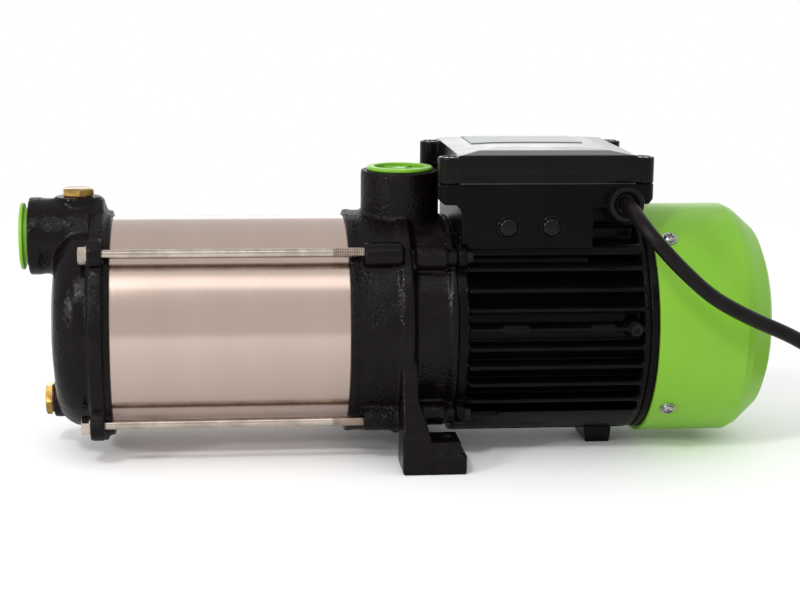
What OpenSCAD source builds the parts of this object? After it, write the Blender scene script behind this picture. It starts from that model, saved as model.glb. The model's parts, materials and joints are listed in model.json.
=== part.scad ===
// Self-priming multistage pump: stainless barrel between two castings, finned motor, terminal box and fan cover.
// The shaft runs along X. The origin lies on the floor, midway between the two foot holes.

/* [Shaft line] */
// Clear height under the motor's cooling fins
ground_gap = 7.5; // [5:0.5:14]
// Distance from the foot holes back to the joint of bracket and motor
foot_setback = 6.3; // [5:0.1:8]
// Diameter of the shaft in the pump stages
stage_shaft_d = 12; // [10:0.5:13]
// Diameter of the shaft at the front bearing
front_journal_d = 17; // [16:0.5:18]
// Diameter of the shaft under the rotor
rotor_shaft_d = 20; // [19:0.5:22]
// Diameter of the shaft at the rear bearing and the fan
rear_journal_d = 15; // [14:0.5:16]

/* [Barrel] */
// Outer diameter of the stainless barrel
barrel_d = 125; // [124:0.5:128]
// Wall of the barrel
barrel_wall = 1.3; // [1:0.1:1.8]
// Length of barrel seen between the two castings
barrel_gap = 134.4; // [124:0.2:160]
// Depth of the sockets that hold the barrel's ends
socket_depth = 8; // [7:0.5:9]
// Play between the barrel and the socket walls
barrel_play = 0.15; // [0.1:0.05:0.25]
// Outer diameter of the cast lip round each socket
lip_d = 132; // [131:0.5:134]
// Width of the lip on the suction casing
lip_w = 4; // [3:0.5:6]

/* [Castings] */
// Wall of the castings
cast_wall = 5.5; // [5:0.25:7]
// Diameter of the suction casing's dome
dome_d = 121; // [119:0.5:123]
// Depth of the dome in front of its flange
dome_depth = 23.5; // [22:0.5:26]
// Radius where the dome's face turns into its side
dome_corner = 16; // [14:0.5:18]
// Rise of the dome's face in its middle
dome_crown = 3; // [2:0.25:4]
// Diameter of the suction casing's flange
flange_d = 138; // [136:0.5:141]
// Thickness of the flange
flange_t = 8.2; // [7:0.2:10]
// Length of the discharge bracket
bracket_len = 61.6; // [61:0.2:66]
// Diameter of the bracket's front body
bracket_front_d = 133; // [132:0.5:135]
// Length of the bracket's front body
bracket_front_len = 29.4; // [29:0.2:32]
// Width of the raised band behind the front body
bracket_band_w = 6; // [4:0.5:8]
// Diameter of the raised band
bracket_band_d = 136; // [134:0.5:139]
// Diameter of the bracket's rear body
bracket_rear_d = 124; // [122:0.5:126]

/* [Ports] */
// Height of the suction port's axis above the shaft
suction_rise = 51.8; // [50:0.2:53]
// Outer diameter of the suction port
suction_boss_d = 44; // [43:0.5:46]
// Length of the suction port in front of the flange
suction_boss_len = 35.6; // [33:0.2:46]
// Outer diameter of the discharge port
discharge_boss_d = 46; // [44:0.5:47]
// Height of the discharge port's mouth above the shaft
discharge_rise = 90; // [84:0.5:100]
// Distance from the foot holes back to the discharge port's axis
discharge_x = 22; // [21:0.5:23]
// Bore of the two ports, for a one inch pipe thread
port_bore_d = 30.3; // [29.5:0.1:31]
// Length of the threaded bore
port_thread_len = 13; // [12:0.5:14]
// Diameter of the counterbore that takes a cap's skirt
cap_seat_d = 34; // [33.6:0.1:34.6]
// Depth of that counterbore
cap_seat_depth = 5; // [4.5:0.25:6]
// Outer diameter of the caps
cap_d = 39; // [38:0.5:40]
// Thickness of the caps' rim
cap_rim = 2.2; // [1.8:0.2:3.6]

/* [Plugs] */
// Distance across the flats of the brass plugs
plug_flats = 17; // [16:0.5:18]
// Height of the plugs' heads
plug_head_h = 3.7; // [3:0.1:6]
// Thread diameter of the plugs
plug_thread_d = 13; // [12.4:0.2:13.6]
// Thread length of the plugs
plug_thread_len = 8.5; // [7:0.5:9]
// Thickness of the sealing washers
washer_t = 1; // [0.8:0.1:1.5]
// Diameter of the priming plug's raised seat
priming_boss_d = 26; // [24:0.5:28]
// Height of that seat above the shaft
priming_rise = 75.1; // [74.9:0.1:77]
// Distance from the flange's rear face to the priming plug's axis
priming_back = 15.6; // [14.5:0.1:17]
// Depth of the drain plug's axis below the shaft
drain_drop = 45.2; // [43:0.2:46]
// Diameter of the drain plug's boss
drain_boss_d = 22; // [21:0.5:24]
// How far the drain boss stands in front of the dome's face
drain_boss_out = 0.5; // [0.3:0.1:2.5]

/* [Fasteners] */
// Half distance between the tie bolts across the pump
tie_y = 50; // [49.5:0.1:50.5]
// Half distance between the tie bolts up the pump
tie_z = 49; // [48.6:0.1:50]
// Thread diameter of the tie bolts
tie_thread_d = 5.9; // [5.6:0.1:5.9]
// Diameter of the tie bolts' plain shanks
tie_shank_d = 5.2; // [4.8:0.1:5.5]
// Distance across the flats of the tie bolts' heads
tie_flats = 10; // [9:0.5:10.5]
// Height of the tie bolts' heads
tie_head_h = 5; // [4:0.2:6]
// Length of the thread at the ends of the tie bolts
tie_thread_len = 36; // [30:1:42]
// Half distance between the motor screws across the pump
motor_screw_y = 50; // [49:0.1:51]
// Half distance between the motor screws up the pump
motor_screw_z = 45.5; // [45:0.1:46]
// Thread diameter of the motor screws
motor_screw_d = 4.9; // [4.6:0.1:5.2]

/* [Feet] */
// Distance between the foot holes
foot_span = 130; // [126:0.5:134]
// Diameter of the foot holes
foot_hole_d = 9; // [7:0.5:10]
// Overall width over the feet
foot_width = 159; // [154:0.5:172]
// Width of each foot across the pump
foot_pad_w = 29; // [28:0.5:30]
// Length of the feet behind the leg's front face
foot_pad_len = 36.4; // [36:0.2:38]
// Height of the feet's base
foot_base_h = 11.5; // [10:0.5:13]
// Full height of the feet under their holes
foot_h = 18.5; // [17:0.5:20]
// Thickness of the legs along the pump
leg_t = 16; // [14:0.5:18]

/* [Motor] */
// Length of the motor housing
housing_len = 110.2; // [110:0.2:125]
// Diameter over the cooling fins
fin_d = 133; // [126:0.5:142]
// Distance between the fins
fin_pitch = 11; // [10.5:0.1:11.5]
// Thickness of the fins
fin_t = 2.4; // [2:0.1:3]
// Height of the fin next above the shaft's axis
fin_offset = 5.9; // [5:0.1:6.5]
// Diameter of the housing between the fins
core_d = 107; // [106:0.5:109]
// Bore of the housing, for the stator
stator_d = 94; // [92:0.5:96]
// Length of the stator's laminations
stator_len = 62; // [58:1:66]
// Bore of the stator
stator_bore_d = 55; // [54:0.5:56]
// Air gap between rotor and stator
air_gap = 0.4; // [0.3:0.05:0.6]
// Thickness of the end shield's plate
shield_t = 8.5; // [8:0.25:10]

/* [Fan cover] */
// Outer diameter of the fan cover
cover_d = 137.2; // [136.8:0.2:139]
// Wall of the fan cover
cover_wall = 2; // [1.6:0.1:2.3]
// Length of the cover's straight part
cover_straight = 55.6; // [48:0.2:70]
// Length of the sloping shoulder behind it
cover_shoulder = 15.5; // [12:0.5:20]
// Diameter at the back of the shoulder
cover_back_d = 101; // [84:1:108]
// Rise of the cover's domed back
cover_back_rise = 3.6; // [2.6:0.2:8]
// Overlap of the cover on the end shield
cover_overlap = 3.7; // [3:0.1:5]
// Diameter of the fan
fan_d = 118; // [110:1:121]
// Number of fan blades
fan_blades = 7; // [5:1:9]

/* [Stages] */
// Number of pump stages
stages = 5; // [4:1:6]
// Diameter of the impellers
impeller_d = 98; // [92:1:100]
// Width of an impeller over both shrouds
impeller_w = 9.4; // [8:0.1:9.8]
// Thickness of shrouds and stage discs
shroud_t = 2; // [1.6:0.1:2.2]
// Number of vanes in an impeller
impeller_vanes = 6; // [5:1:7]
// Number of vanes behind a diffuser
diffuser_vanes = 8; // [6:1:9]
// Diameter of the impeller's inlet
eye_d = 34; // [32:0.5:36]
// Diameter of the impellers' hubs
hub_d = 20; // [19:0.5:21]

/* [Terminal box] */
// Length of the box between its corner posts
box_len = 102; // [100:0.5:104]
// Half width of the box across the pump
box_half = 51; // [48:0.25:56]
// Distance from the bracket joint back to the box
box_back = 0.1; // [0:0.1:1]
// Height of the box's floor above the shaft
box_floor = 73.5; // [73:0.25:75]
// Height of the joint of box and lid above the shaft
box_rim = 87.3; // [86:0.25:88]
// Height of the lid's edge above the shaft
lid_rise = 103.6; // [102:0.25:105]
// Rise of the lid in its middle
lid_crown = 2.6; // [2:0.2:3.4]
// Diameter of the corner posts
post_d = 13; // [12:0.5:14]
// Distance of the corner posts' axes from the box's ends
post_out = 4.8; // [4.4:0.1:5.4]
// Distance of the corner posts' axes from the box's long sides
post_in = 7; // [6.6:0.1:7.6]
// Wall of the box
box_wall = 2.4; // [2:0.1:2.8]
// Length of the saddle block under the box
saddle_len = 76; // [74:0.5:78]
// Height of the saddle block's lower edge above the shaft
saddle_low = 50; // [49.5:0.25:51]
// Diameter of the two knock-outs
knockout_d = 13; // [12:0.5:14]
// Distance between the knock-outs
knockout_gap = 25; // [20:0.5:30]

/* [Cord] */
// Diameter of the mains cord
cord_d = 8.5; // [8.3:0.1:8.6]
// Outer diameter of the gland nut
gland_d = 20.6; // [20:0.2:22]
// How far the gland nut stands out of the box
gland_out = 7; // [6:0.25:7.5]
// Height of the gland's axis above the shaft
gland_rise = 76.5; // [76:0.25:77.5]
// Diameter of the mains plug's face
plug_face_d = 38; // [36:0.5:38]
// Length of the mains plug's body
plug_body_len = 34; // [32:0.5:38]

/* [Hidden] */
$fn = 96;

// Height of the shaft's axis above the floor
shaft_h = fin_d / 2 + ground_gap;

// Stations along the shaft, from the foot holes
bracket_x1 = foot_setback;
bracket_x0 = bracket_x1 - bracket_len;
lip_x = bracket_x0 - barrel_gap;
flange_x1 = lip_x - lip_w;
flange_x0 = flange_x1 - flange_t;
dome_x = flange_x0 - dome_depth;
suction_x = flange_x0 - suction_boss_len;
suction_socket_x = lip_x - socket_depth;
bracket_socket_x = bracket_x0 + socket_depth;
priming_x = flange_x1 - priming_back;
bracket_band_x0 = bracket_x0 + bracket_front_len;
bracket_band_x1 = bracket_band_x0 + bracket_band_w;
housing_x0 = bracket_x1;
housing_x1 = housing_x0 + housing_len;
shield_x1 = housing_x1 + shield_t;
cover_x0 = shield_x1 - cover_overlap;
cover_x1 = cover_x0 + cover_straight;
cover_x2 = cover_x1 + cover_shoulder;
cover_x3 = cover_x2 + cover_back_rise;

// Fits and small clearances
slip = 0.05;
face_gap = 0.3;

// Radii of the barrel's sockets
barrel_r = barrel_d / 2;
barrel_inner_r = barrel_r - barrel_wall;
spigot_r = barrel_inner_r - barrel_play;
chamber_r = spigot_r - cast_wall;
o_ring_r = 1.1;
groove_depth = 2 * o_ring_r + 0.1;
groove_half = 1.4;

// Pump stages
stage_pitch = (barrel_gap - 0.6) / stages;
stage_x1 = bracket_x0 - 0.3;
stage_x0 = stage_x1 - stages * stage_pitch;
stage_r = spigot_r - 0.4;
stage_wall = 2.6;
run_gap = 0.7;
impeller_at = shroud_t + run_gap;
diffuser_at = impeller_at + impeller_w + run_gap;

// Bracket walls, seal and bearings
wall_x0 = bracket_band_x0 - 8;
wall_x1 = wall_x0 + cast_wall;
seal_seat_d = 26;
seal_seat_len = 6;
seal_bore_d = 15;
seal_head_d = 24;
seal_head_len = 5;
seal_spring_d = 21;
seal_spring_wire = 1.8;
seal_film = 0.05;
seal_collar_len = 3;
front_bearing_d = 40;
front_bearing_w = 12;
rear_bearing_d = 35;
rear_bearing_w = 11;
bearing_housing_wall = 5;
front_bearing_x1 = bracket_x1 - 1;
front_bearing_x0 = front_bearing_x1 - front_bearing_w;
rear_bearing_x0 = housing_x1 - 6;
rear_bearing_x1 = rear_bearing_x0 + rear_bearing_w;
wave_t = 1.2;
stator_x0 = housing_x0 + 26;
stator_x1 = stator_x0 + stator_len;
rotor_d = stator_bore_d - 2 * air_gap;

// Feet
foot_y = foot_span / 2;
pad_y1 = foot_width / 2;
pad_y0 = pad_y1 - foot_pad_w;
leg_x0 = bracket_band_x0 - 0.9;
leg_x1 = leg_x0 + leg_t;

// Terminal box
box_x0 = bracket_x1 + box_back;
box_x1 = box_x0 + box_len;
post_xs = [box_x0 - post_out, box_x1 + post_out];
post_ys = [-box_half + post_in, box_half - post_in];
box_floor_z = shaft_h + box_floor;
box_rim_z = shaft_h + box_rim;
lid_z = shaft_h + lid_rise;
saddle_x0 = box_x0 + 2;
saddle_x1 = saddle_x0 + saddle_len;
saddle_half = box_half - 1;
saddle_top_z = shaft_h + 56;
gland_x = box_x1 - 6.7;
gland_z = shaft_h + gland_rise;
gland_face_y = -box_half;
gland_bore_d = cord_d + 3;
seal_face_y = gland_face_y - 1.5;
knockout_x = saddle_x0 + 0.354 * saddle_len;
knockout_z = shaft_h + 62.5;

// The cord's route from the gland to its coil, and from the coil to the plug
gland_at = [gland_x, gland_face_y, gland_z];
drawn_gland_at = [101.7, -51, 150.5];
drawn_route = [
    [101.7, -53, 150.5], [101.7, -63, 150.2], [102.5, -72.5, 148], [104.5, -81, 143.8], [108.5, -88, 137.6],
    [114.5, -92.5, 130.6], [121.3, -94.5, 123.2], [129, -95, 115.8], [137, -94, 108.7], [146, -92, 102],
    [155.8, -90, 96.2], [165.5, -88, 91.2], [175.2, -86, 86.6], [185, -84, 82.2], [194.5, -82, 77.6],
    [204, -80, 72.2], [213, -78, 65.6], [221.5, -76, 57.8], [229.5, -74.2, 49], [237.5, -72.6, 39.8],
    [245.8, -71.2, 30.8], [254.6, -70, 22.4], [264.2, -69, 15], [275, -68.2, 9.2], [287, -67.6, 5.6],
    [299.5, -67.2, 4.4], [318, -67, 4.4]
];
route_end = len(drawn_route) - 1;
cord_route = [for (i = [0 : route_end])
    drawn_route[i] + min(1, 1.2 * (1 - i / (route_end - 2))) * (i < route_end - 2 ? 1 : 0) * (gland_at - drawn_gland_at)];
tail_route = [[374, -12, 13.2], [374, -4, 14], [374, 4, 15.8], [374, 12, 17.6], [374, 20, 18.8], [374, 26, 19.2]];
cord_sides = 10;
coil_centre = [318, -12];
coil_in_r = 36.5;
coil_out_r = 55;
coil_layers = 2;
plug_at = [374, 26.35, 19.2];

// A piece's local Z turned onto the shaft's direction, at station x
module on_shaft(x = 0) {
    translate([x, 0, shaft_h])
        rotate([0, 90, 0])
            children();
}

// Solid turned about the shaft from a list of [station, radius] points
module turned(profile) {
    on_shaft()
        rotate_extrude()
            polygon([for (p = profile) [p[1], p[0]]]);
}

// Cylinder along the shaft's direction, from station x0 to x1, at [y, z] from the axis
module rod_x(x0, x1, d, at = [0, 0]) {
    translate([x0, at[0], shaft_h + at[1]])
        rotate([0, 90, 0])
            cylinder(h = x1 - x0, d = d);
}

module tube_x(x0, x1, outer, inner) {
    difference() {
        rod_x(x0, x1, outer);
        rod_x(x0 - 1, x1 + 1, inner);
    }
}

module hex_x(x0, x1, flats, at = [0, 0]) {
    translate([x0, at[0], shaft_h + at[1]])
        rotate([0, 90, 0])
            cylinder(h = x1 - x0, d = flats / cos(30), $fn = 6);
}

module at_corners(y, z) {
    for (sy = [-1, 1], sz = [-1, 1])
        translate([0, sy * y, sz * z])
            children();
}

// Points [station, radius] of an arc from angle a0 to a1 about a centre
function arc(centre, r, a0, a1, steps) =
    [for (i = [0 : steps]) let (a = a0 + (a1 - a0) * i / steps) [centre[0] + r * cos(a), centre[1] + r * sin(a)]];

// The dome's face from the axis out to its side, moved in by a wall
function dome_face(inset) =
    let (corner = dome_corner - inset, x = dome_x + inset)
    concat(
        [[x, 0], [x, 8], [x + dome_crown * 0.4, (dome_d / 2 - dome_corner) * 0.7]],
        arc([x + dome_crown + corner, dome_d / 2 - dome_corner], corner, 180, 90, 8)
    );

// Outline of the flange with its four lugs, seen along the shaft
module flange_outline(lug_d) {
    reach = norm([tie_y, tie_z]);
    circle(d = flange_d);
    for (sy = [-1, 1], sz = [-1, 1])
        translate([sz * tie_z, sy * tie_y])
            circle(d = lug_d);
    for (side = [-1, 1])
        rotate([0, 0, side * atan2(tie_y, tie_z)])
            translate([-reach, 0.3 - lug_d / 2])
                square([2 * reach, lug_d - 0.6]);
}

module o_ring_groove(x) {
    tube_x(x - groove_half, x + groove_half, 2 * spigot_r + 2, 2 * (spigot_r - groove_depth));
}

module barrel_socket(x0, x1) {
    tube_x(x0, x1, 2 * (barrel_r + barrel_play), 2 * spigot_r);
}

module suction_casing() {
    pad_r = 5.5;
    color([0.07, 0.07, 0.075])
        difference() {
            union() {
                turned(concat(
                    dome_face(0),
                    [[flange_x0 + 1, dome_d / 2], [flange_x0 + 1, lip_d / 2], [lip_x, lip_d / 2], [lip_x, 0]]
                ));
                on_shaft(flange_x0)
                    linear_extrude(height = flange_t)
                        flange_outline(18);
                rod_x(suction_x, flange_x1 - 0.5, suction_boss_d, [0, suction_rise]);
                rod_x(suction_x, suction_x + 7, suction_boss_d + 1, [0, suction_rise]);
                translate([priming_x, 0, shaft_h + suction_rise])
                    cylinder(h = priming_rise - suction_rise, d = priming_boss_d);
                rod_x(dome_x - drain_boss_out, flange_x0 + 2, drain_boss_d, [0, -drain_drop]);
                rod_x(dome_x - 0.5, dome_x + 4, 2 * pad_r, [0, -23]);
            }
            turned(concat(
                dome_face(cast_wall),
                [[flange_x0, dome_d / 2 - cast_wall], [flange_x0 + 4, chamber_r], [lip_x + 1, chamber_r], [lip_x + 1, 0]]
            ));
            barrel_socket(suction_socket_x, lip_x + 1);
            o_ring_groove(lip_x - socket_depth / 2);
            rod_x(suction_x - 1, suction_x + cap_seat_depth, cap_seat_d, [0, suction_rise]);
            rod_x(suction_x, suction_x + cap_seat_depth + port_thread_len, port_bore_d, [0, suction_rise]);
            rod_x(suction_x, flange_x0 - 4, port_bore_d - 4, [0, suction_rise]);
            translate([priming_x, 0, shaft_h + suction_rise])
                cylinder(h = 60, d = plug_thread_d + 2 * slip);
            rod_x(dome_x - 10, flange_x0 - 8, plug_thread_d + 2 * slip, [0, -drain_drop]);
            at_corners(tie_y, tie_z)
                rod_x(flange_x0 - 1, lip_x + 1, tie_thread_d + 1);
        }
}

// Push-in cap of a port, its rim a collar's height above local Z = 0 and its skirt below
module port_cap(collar) {
    skirt_wall = 1.6;
    ribs = 4;
    color([0.45, 0.74, 0.22])
        difference() {
            union() {
                translate([0, 0, collar])
                    cylinder(h = cap_rim, d = cap_d);
                translate([0, 0, -cap_seat_depth + face_gap])
                    cylinder(h = cap_seat_depth + collar, d = cap_seat_d - 2 * face_gap);
            }
            difference() {
                translate([0, 0, -cap_seat_depth + skirt_wall + face_gap])
                    cylinder(h = 20, d = cap_seat_d - 2 * face_gap - 2 * skirt_wall);
                for (i = [0 : ribs - 1])
                    rotate([0, 0, i * 180 / ribs])
                        translate([-cap_d / 2, -0.7, -cap_seat_depth])
                            cube([cap_d, 1.4, cap_seat_depth + collar + cap_rim * 0.4]);
            }
        }
}

// The suction port's cap stands a little out of its seat
suction_cap_out = 2.6;
module suction_cap() {
    translate([suction_x, 0, shaft_h + suction_rise])
        rotate([0, -90, 0])
            port_cap(suction_cap_out);
}

module discharge_cap() {
    translate([-discharge_x, 0, shaft_h + discharge_rise])
        port_cap(0);
}

// Hexagon plug with its seat at local Z = 0 and its thread below; the sealing washer lies on the seat
module hex_plug(turn) {
    color([0.78, 0.6, 0.24]) {
        rotate([0, 0, turn])
            translate([0, 0, washer_t])
                intersection() {
                    cylinder(h = plug_head_h, d = plug_flats / cos(30), $fn = 6);
                    cylinder(h = plug_head_h, d = plug_flats / cos(30) - 0.8);
                }
        translate([0, 0, -plug_thread_len])
            cylinder(h = plug_thread_len + washer_t, d = plug_thread_d);
    }
}

module plug_washer() {
    color([0.72, 0.42, 0.2])
        difference() {
            cylinder(h = washer_t, d = plug_flats - 0.4);
            translate([0, 0, -1])
                cylinder(h = washer_t + 2, d = plug_thread_d + 4 * slip);
        }
}

module at_priming_plug() {
    translate([priming_x, 0, shaft_h + priming_rise])
        children();
}

module at_drain_plug() {
    translate([dome_x - drain_boss_out, 0, shaft_h - drain_drop])
        rotate([0, -90, 0])
            children();
}

module priming_plug() {
    at_priming_plug()
        hex_plug(9);
}

module priming_washer() {
    at_priming_plug()
        plug_washer();
}

module drain_plug() {
    at_drain_plug()
        hex_plug(0);
}

module drain_washer() {
    at_drain_plug()
        plug_washer();
}

module barrel() {
    color([0.78, 0.76, 0.74])
        tube_x(suction_socket_x, bracket_socket_x, barrel_d, 2 * barrel_inner_r);
}

module barrel_o_rings() {
    color([0.1, 0.1, 0.1])
        for (x = [lip_x - socket_depth / 2, bracket_x0 + socket_depth / 2])
            on_shaft(x)
                rotate_extrude()
                    translate([spigot_r - groove_depth + o_ring_r + 0.05, 0])
                        circle(r = o_ring_r, $fn = 24);
}

tie_end_x = bracket_band_x0 - 3;
module tie_bolts() {
    color([0.75, 0.72, 0.66])
        for (sy = [-1, 1], sz = [-1, 1]) {
            hex_x(flange_x0 - tie_head_h, flange_x0, tie_flats, [sy * tie_y, sz * tie_z]);
            rod_x(flange_x0, tie_end_x - tie_thread_len, tie_shank_d, [sy * tie_y, sz * tie_z]);
            rod_x(tie_end_x - tie_thread_len, tie_end_x, tie_thread_d, [sy * tie_y, sz * tie_z]);
        }
}

// One leg with its foot, on the side that side = 1 or -1 names
module leg(side) {
    top_z = shaft_h - 8;
    body_y = bracket_rear_d / 2 - 6;
    scale([1, side, 1]) {
        intersection() {
            translate([leg_x1, 0, 0])
                rotate([0, -90, 0])
                    linear_extrude(height = leg_t)
                        polygon([
                            [foot_base_h, pad_y0 + 2], [foot_h + 8, pad_y0 + 2], [foot_h + 16, body_y - 22],
                            [top_z, body_y], [top_z + 6, body_y + 5], [shaft_h - 30, pad_y1 - 8],
                            [foot_h + 6, pad_y1 - 1], [foot_base_h, pad_y1 - 1]
                        ]);
            translate([0, 100, 0])
                rotate([90, 0, 0])
                    linear_extrude(height = 100)
                        polygon([
                            [leg_x0, 0], [leg_x1, 0], [leg_x1, foot_h + 2], [leg_x1 - 2.4, shaft_h - 45],
                            [leg_x1 - 6.4, shaft_h - 33], [leg_x1 - 7, shaft_h + 10], [leg_x0, shaft_h + 10]
                        ]);
        }
        translate([leg_x0, pad_y0, 0])
            cube([foot_pad_len, foot_pad_w, foot_base_h]);
        translate([leg_x0 + 0.5, pad_y0 + 2.5, 0])
            cube([foot_pad_len - 3.5, foot_pad_w - 5, foot_h]);
    }
}

module discharge_bracket() {
    boss_len = 22;
    color([0.07, 0.07, 0.075])
        difference() {
            union() {
                turned([
                    [bracket_x0, 0], [bracket_x0, lip_d / 2], [bracket_x0 + 4, lip_d / 2],
                    [bracket_x0 + 5, bracket_front_d / 2 - 1], [bracket_band_x0 - 1, bracket_front_d / 2],
                    [bracket_band_x0, bracket_band_d / 2], [bracket_band_x1, bracket_band_d / 2],
                    [bracket_band_x1 + 3, bracket_rear_d / 2], [bracket_x1 - 4, bracket_rear_d / 2 - 0.5],
                    [bracket_x1 - 4, bracket_rear_d / 2 + 1], [bracket_x1, bracket_rear_d / 2 + 1], [bracket_x1, 0]
                ]);
                at_corners(tie_y, tie_z - 1.5)
                    rod_x(bracket_x0 + 8.2, bracket_band_x0 + 0.5, 14.6);
                at_corners(motor_screw_y, motor_screw_z)
                    rod_x(bracket_x1 - 24, bracket_x1 - 6.8, 13.4);
                at_corners(motor_screw_y, motor_screw_z)
                    rod_x(bracket_x1 - 8, bracket_x1, 9.5);
                translate([-discharge_x, 0, shaft_h])
                    cylinder(h = discharge_rise, d = discharge_boss_d);
                leg(1);
                leg(-1);
            }
            rod_x(bracket_x0 - 1, wall_x0, 2 * chamber_r);
            barrel_socket(bracket_x0 - 1, bracket_socket_x);
            o_ring_groove(bracket_x0 + socket_depth / 2);
            rod_x(wall_x1, front_bearing_x0 - 3, 96);
            tube_x(front_bearing_x0 + 1, bracket_x1 + 1, 96, front_bearing_d + 2 * bearing_housing_wall);
            translate([-discharge_x, 0, shaft_h + discharge_rise - cap_seat_depth])
                cylinder(h = cap_seat_depth + 1, d = cap_seat_d);
            translate([-discharge_x, 0, shaft_h + discharge_rise - cap_seat_depth - port_thread_len])
                cylinder(h = port_thread_len + 1, d = port_bore_d);
            translate([-discharge_x, 0, shaft_h + bracket_rear_d / 2 - 8])
                cylinder(h = discharge_rise - bracket_rear_d / 2, d = port_bore_d - 4);
            translate([wall_x0 - 10, -10, shaft_h + chamber_r - 12])
                cube([20, 20, 20]);
            rod_x(wall_x0 - 1, wall_x1 + 1, seal_seat_d + 2 * slip);
            rod_x(wall_x0 - 1, front_bearing_x0 + 1, front_journal_d + 3);
            rod_x(front_bearing_x0, bracket_x1 + 1, front_bearing_d + slip);
            at_corners(tie_y, tie_z)
                rod_x(bracket_x0 - 1, tie_end_x + 1, tie_thread_d + 2 * slip);
            at_corners(motor_screw_y, motor_screw_z)
                rod_x(bracket_x1 - 18, bracket_x1 + 1, motor_screw_d + 2 * slip);
            for (side = [-1, 1])
                translate([0, side * foot_y, -1])
                    cylinder(h = foot_h + 2, d = foot_hole_d);
        }
}

// Curved vane between radii r0 and r1, bent by its own radius
module vane(r0, r1, h, t = 1.8) {
    bend = r1 * 0.72;
    intersection() {
        translate([0, bend, 0])
            difference() {
                cylinder(h = h, r = bend + t / 2);
                translate([0, 0, -1])
                    cylinder(h = h + 2, r = bend - t / 2);
            }
        difference() {
            cylinder(h = h, r = r1);
            translate([0, 0, -1])
                cylinder(h = h + 2, r = r0);
        }
        translate([0, 0, -1])
            cube([r1 + 1, r1 + 1, h + 2]);
    }
}

// Pieces of each stage, placed at the stage's front
module each_stage() {
    for (i = [0 : stages - 1])
        on_shaft(stage_x0 + i * stage_pitch)
            children();
}

module stage_casings() {
    neck_d = eye_d + 3;
    color([0.83, 0.82, 0.77])
        each_stage()
            difference() {
                cylinder(h = stage_pitch, r = stage_r);
                translate([0, 0, shroud_t])
                    cylinder(h = stage_pitch, r = stage_r - stage_wall);
                translate([0, 0, -1])
                    cylinder(h = shroud_t + 2, d = neck_d);
            }
}

module diffusers() {
    vane_h = stage_pitch - diffuser_at - shroud_t;
    color([0.76, 0.74, 0.68])
        each_stage()
            translate([0, 0, diffuser_at]) {
                difference() {
                    cylinder(h = shroud_t, r = stage_r - stage_wall - slip);
                    translate([0, 0, -1])
                        cylinder(h = shroud_t + 2, d = hub_d + 2 * run_gap);
                    for (i = [0 : diffuser_vanes - 1])
                        rotate([0, 0, i * 360 / diffuser_vanes])
                            translate([impeller_d / 2 + 3, 0, -1])
                                cylinder(h = shroud_t + 2, d = 5, $fn = 24);
                }
                for (i = [0 : diffuser_vanes - 1])
                    rotate([0, 0, (i + 0.5) * 360 / diffuser_vanes])
                        translate([0, 0, shroud_t])
                            vane(eye_d / 2 + 2, impeller_d / 2, vane_h);
            }
}

module impellers() {
    color([0.86, 0.85, 0.8])
        each_stage()
            difference() {
                union() {
                    translate([0, 0, impeller_at])
                        difference() {
                            cylinder(h = shroud_t, d = impeller_d);
                            translate([0, 0, -1])
                                cylinder(h = shroud_t + 2, d = eye_d - 4);
                        }
                    translate([0, 0, shroud_t - run_gap])
                        difference() {
                            cylinder(h = 2 * run_gap, d = eye_d);
                            translate([0, 0, -1])
                                cylinder(h = 2 * run_gap + 2, d = eye_d - 4);
                        }
                    translate([0, 0, impeller_at + impeller_w - shroud_t])
                        cylinder(h = shroud_t, d = impeller_d);
                    for (i = [0 : impeller_vanes - 1])
                        rotate([0, 0, i * 360 / impeller_vanes])
                            translate([0, 0, impeller_at + shroud_t / 2])
                                vane(eye_d / 2 - 3, impeller_d / 2 - 0.5, impeller_w - shroud_t);
                    cylinder(h = stage_pitch - slip, d = hub_d);
                }
                translate([0, 0, -1])
                    cylinder(h = stage_pitch + 2, d = stage_shaft_d + 2 * slip);
            }
}

nut_h = 7;
module impeller_nut() {
    color([0.78, 0.76, 0.72])
        difference() {
            hex_x(stage_x0 - nut_h, stage_x0, 17);
            rod_x(stage_x0 - nut_h - 1, stage_x0 + 1, stage_shaft_d + 2 * slip);
        }
}

fan_x0 = shield_x1 + 9;
fan_len = 24;
shaft_x0 = stage_x0 - nut_h - 3;
shaft_x1 = fan_x0 + fan_len + 4;
module shaft() {
    color([0.8, 0.8, 0.82])
        union() {
            rod_x(shaft_x0, front_bearing_x0 - 4, stage_shaft_d);
            rod_x(front_bearing_x0 - 4, front_bearing_x1 + 1, front_journal_d);
            rod_x(front_bearing_x1 + 1, rear_bearing_x0 - 1, rotor_shaft_d);
            rod_x(rear_bearing_x0 - 1, shaft_x1, rear_journal_d);
        }
}

module seal_seat() {
    color([0.85, 0.83, 0.8])
        tube_x(wall_x1 - seal_seat_len, wall_x1, seal_seat_d, seal_bore_d);
}

seal_face_x = wall_x1 - seal_seat_len - seal_film;
module seal_head() {
    color([0.25, 0.25, 0.27])
        tube_x(seal_face_x - seal_head_len, seal_face_x, seal_head_d, stage_shaft_d + 2 * slip);
}

// Spring between the last impeller's hub and the seal head, with its collar
module seal_spring() {
    room = seal_face_x - seal_head_len - stage_x1 - seal_collar_len;
    turns = max(1, round(room / (2 * seal_spring_wire)));
    color([0.7, 0.7, 0.7]) {
        tube_x(stage_x1, stage_x1 + seal_collar_len, seal_spring_d, stage_shaft_d + 2 * slip);
        for (i = [0 : turns - 1])
            on_shaft(stage_x1 + seal_collar_len + (i + 0.5) * room / turns)
                rotate_extrude()
                    translate([(seal_spring_d - seal_spring_wire) / 2, 0])
                        square([seal_spring_wire, room / turns], center = true);
    }
}

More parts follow.
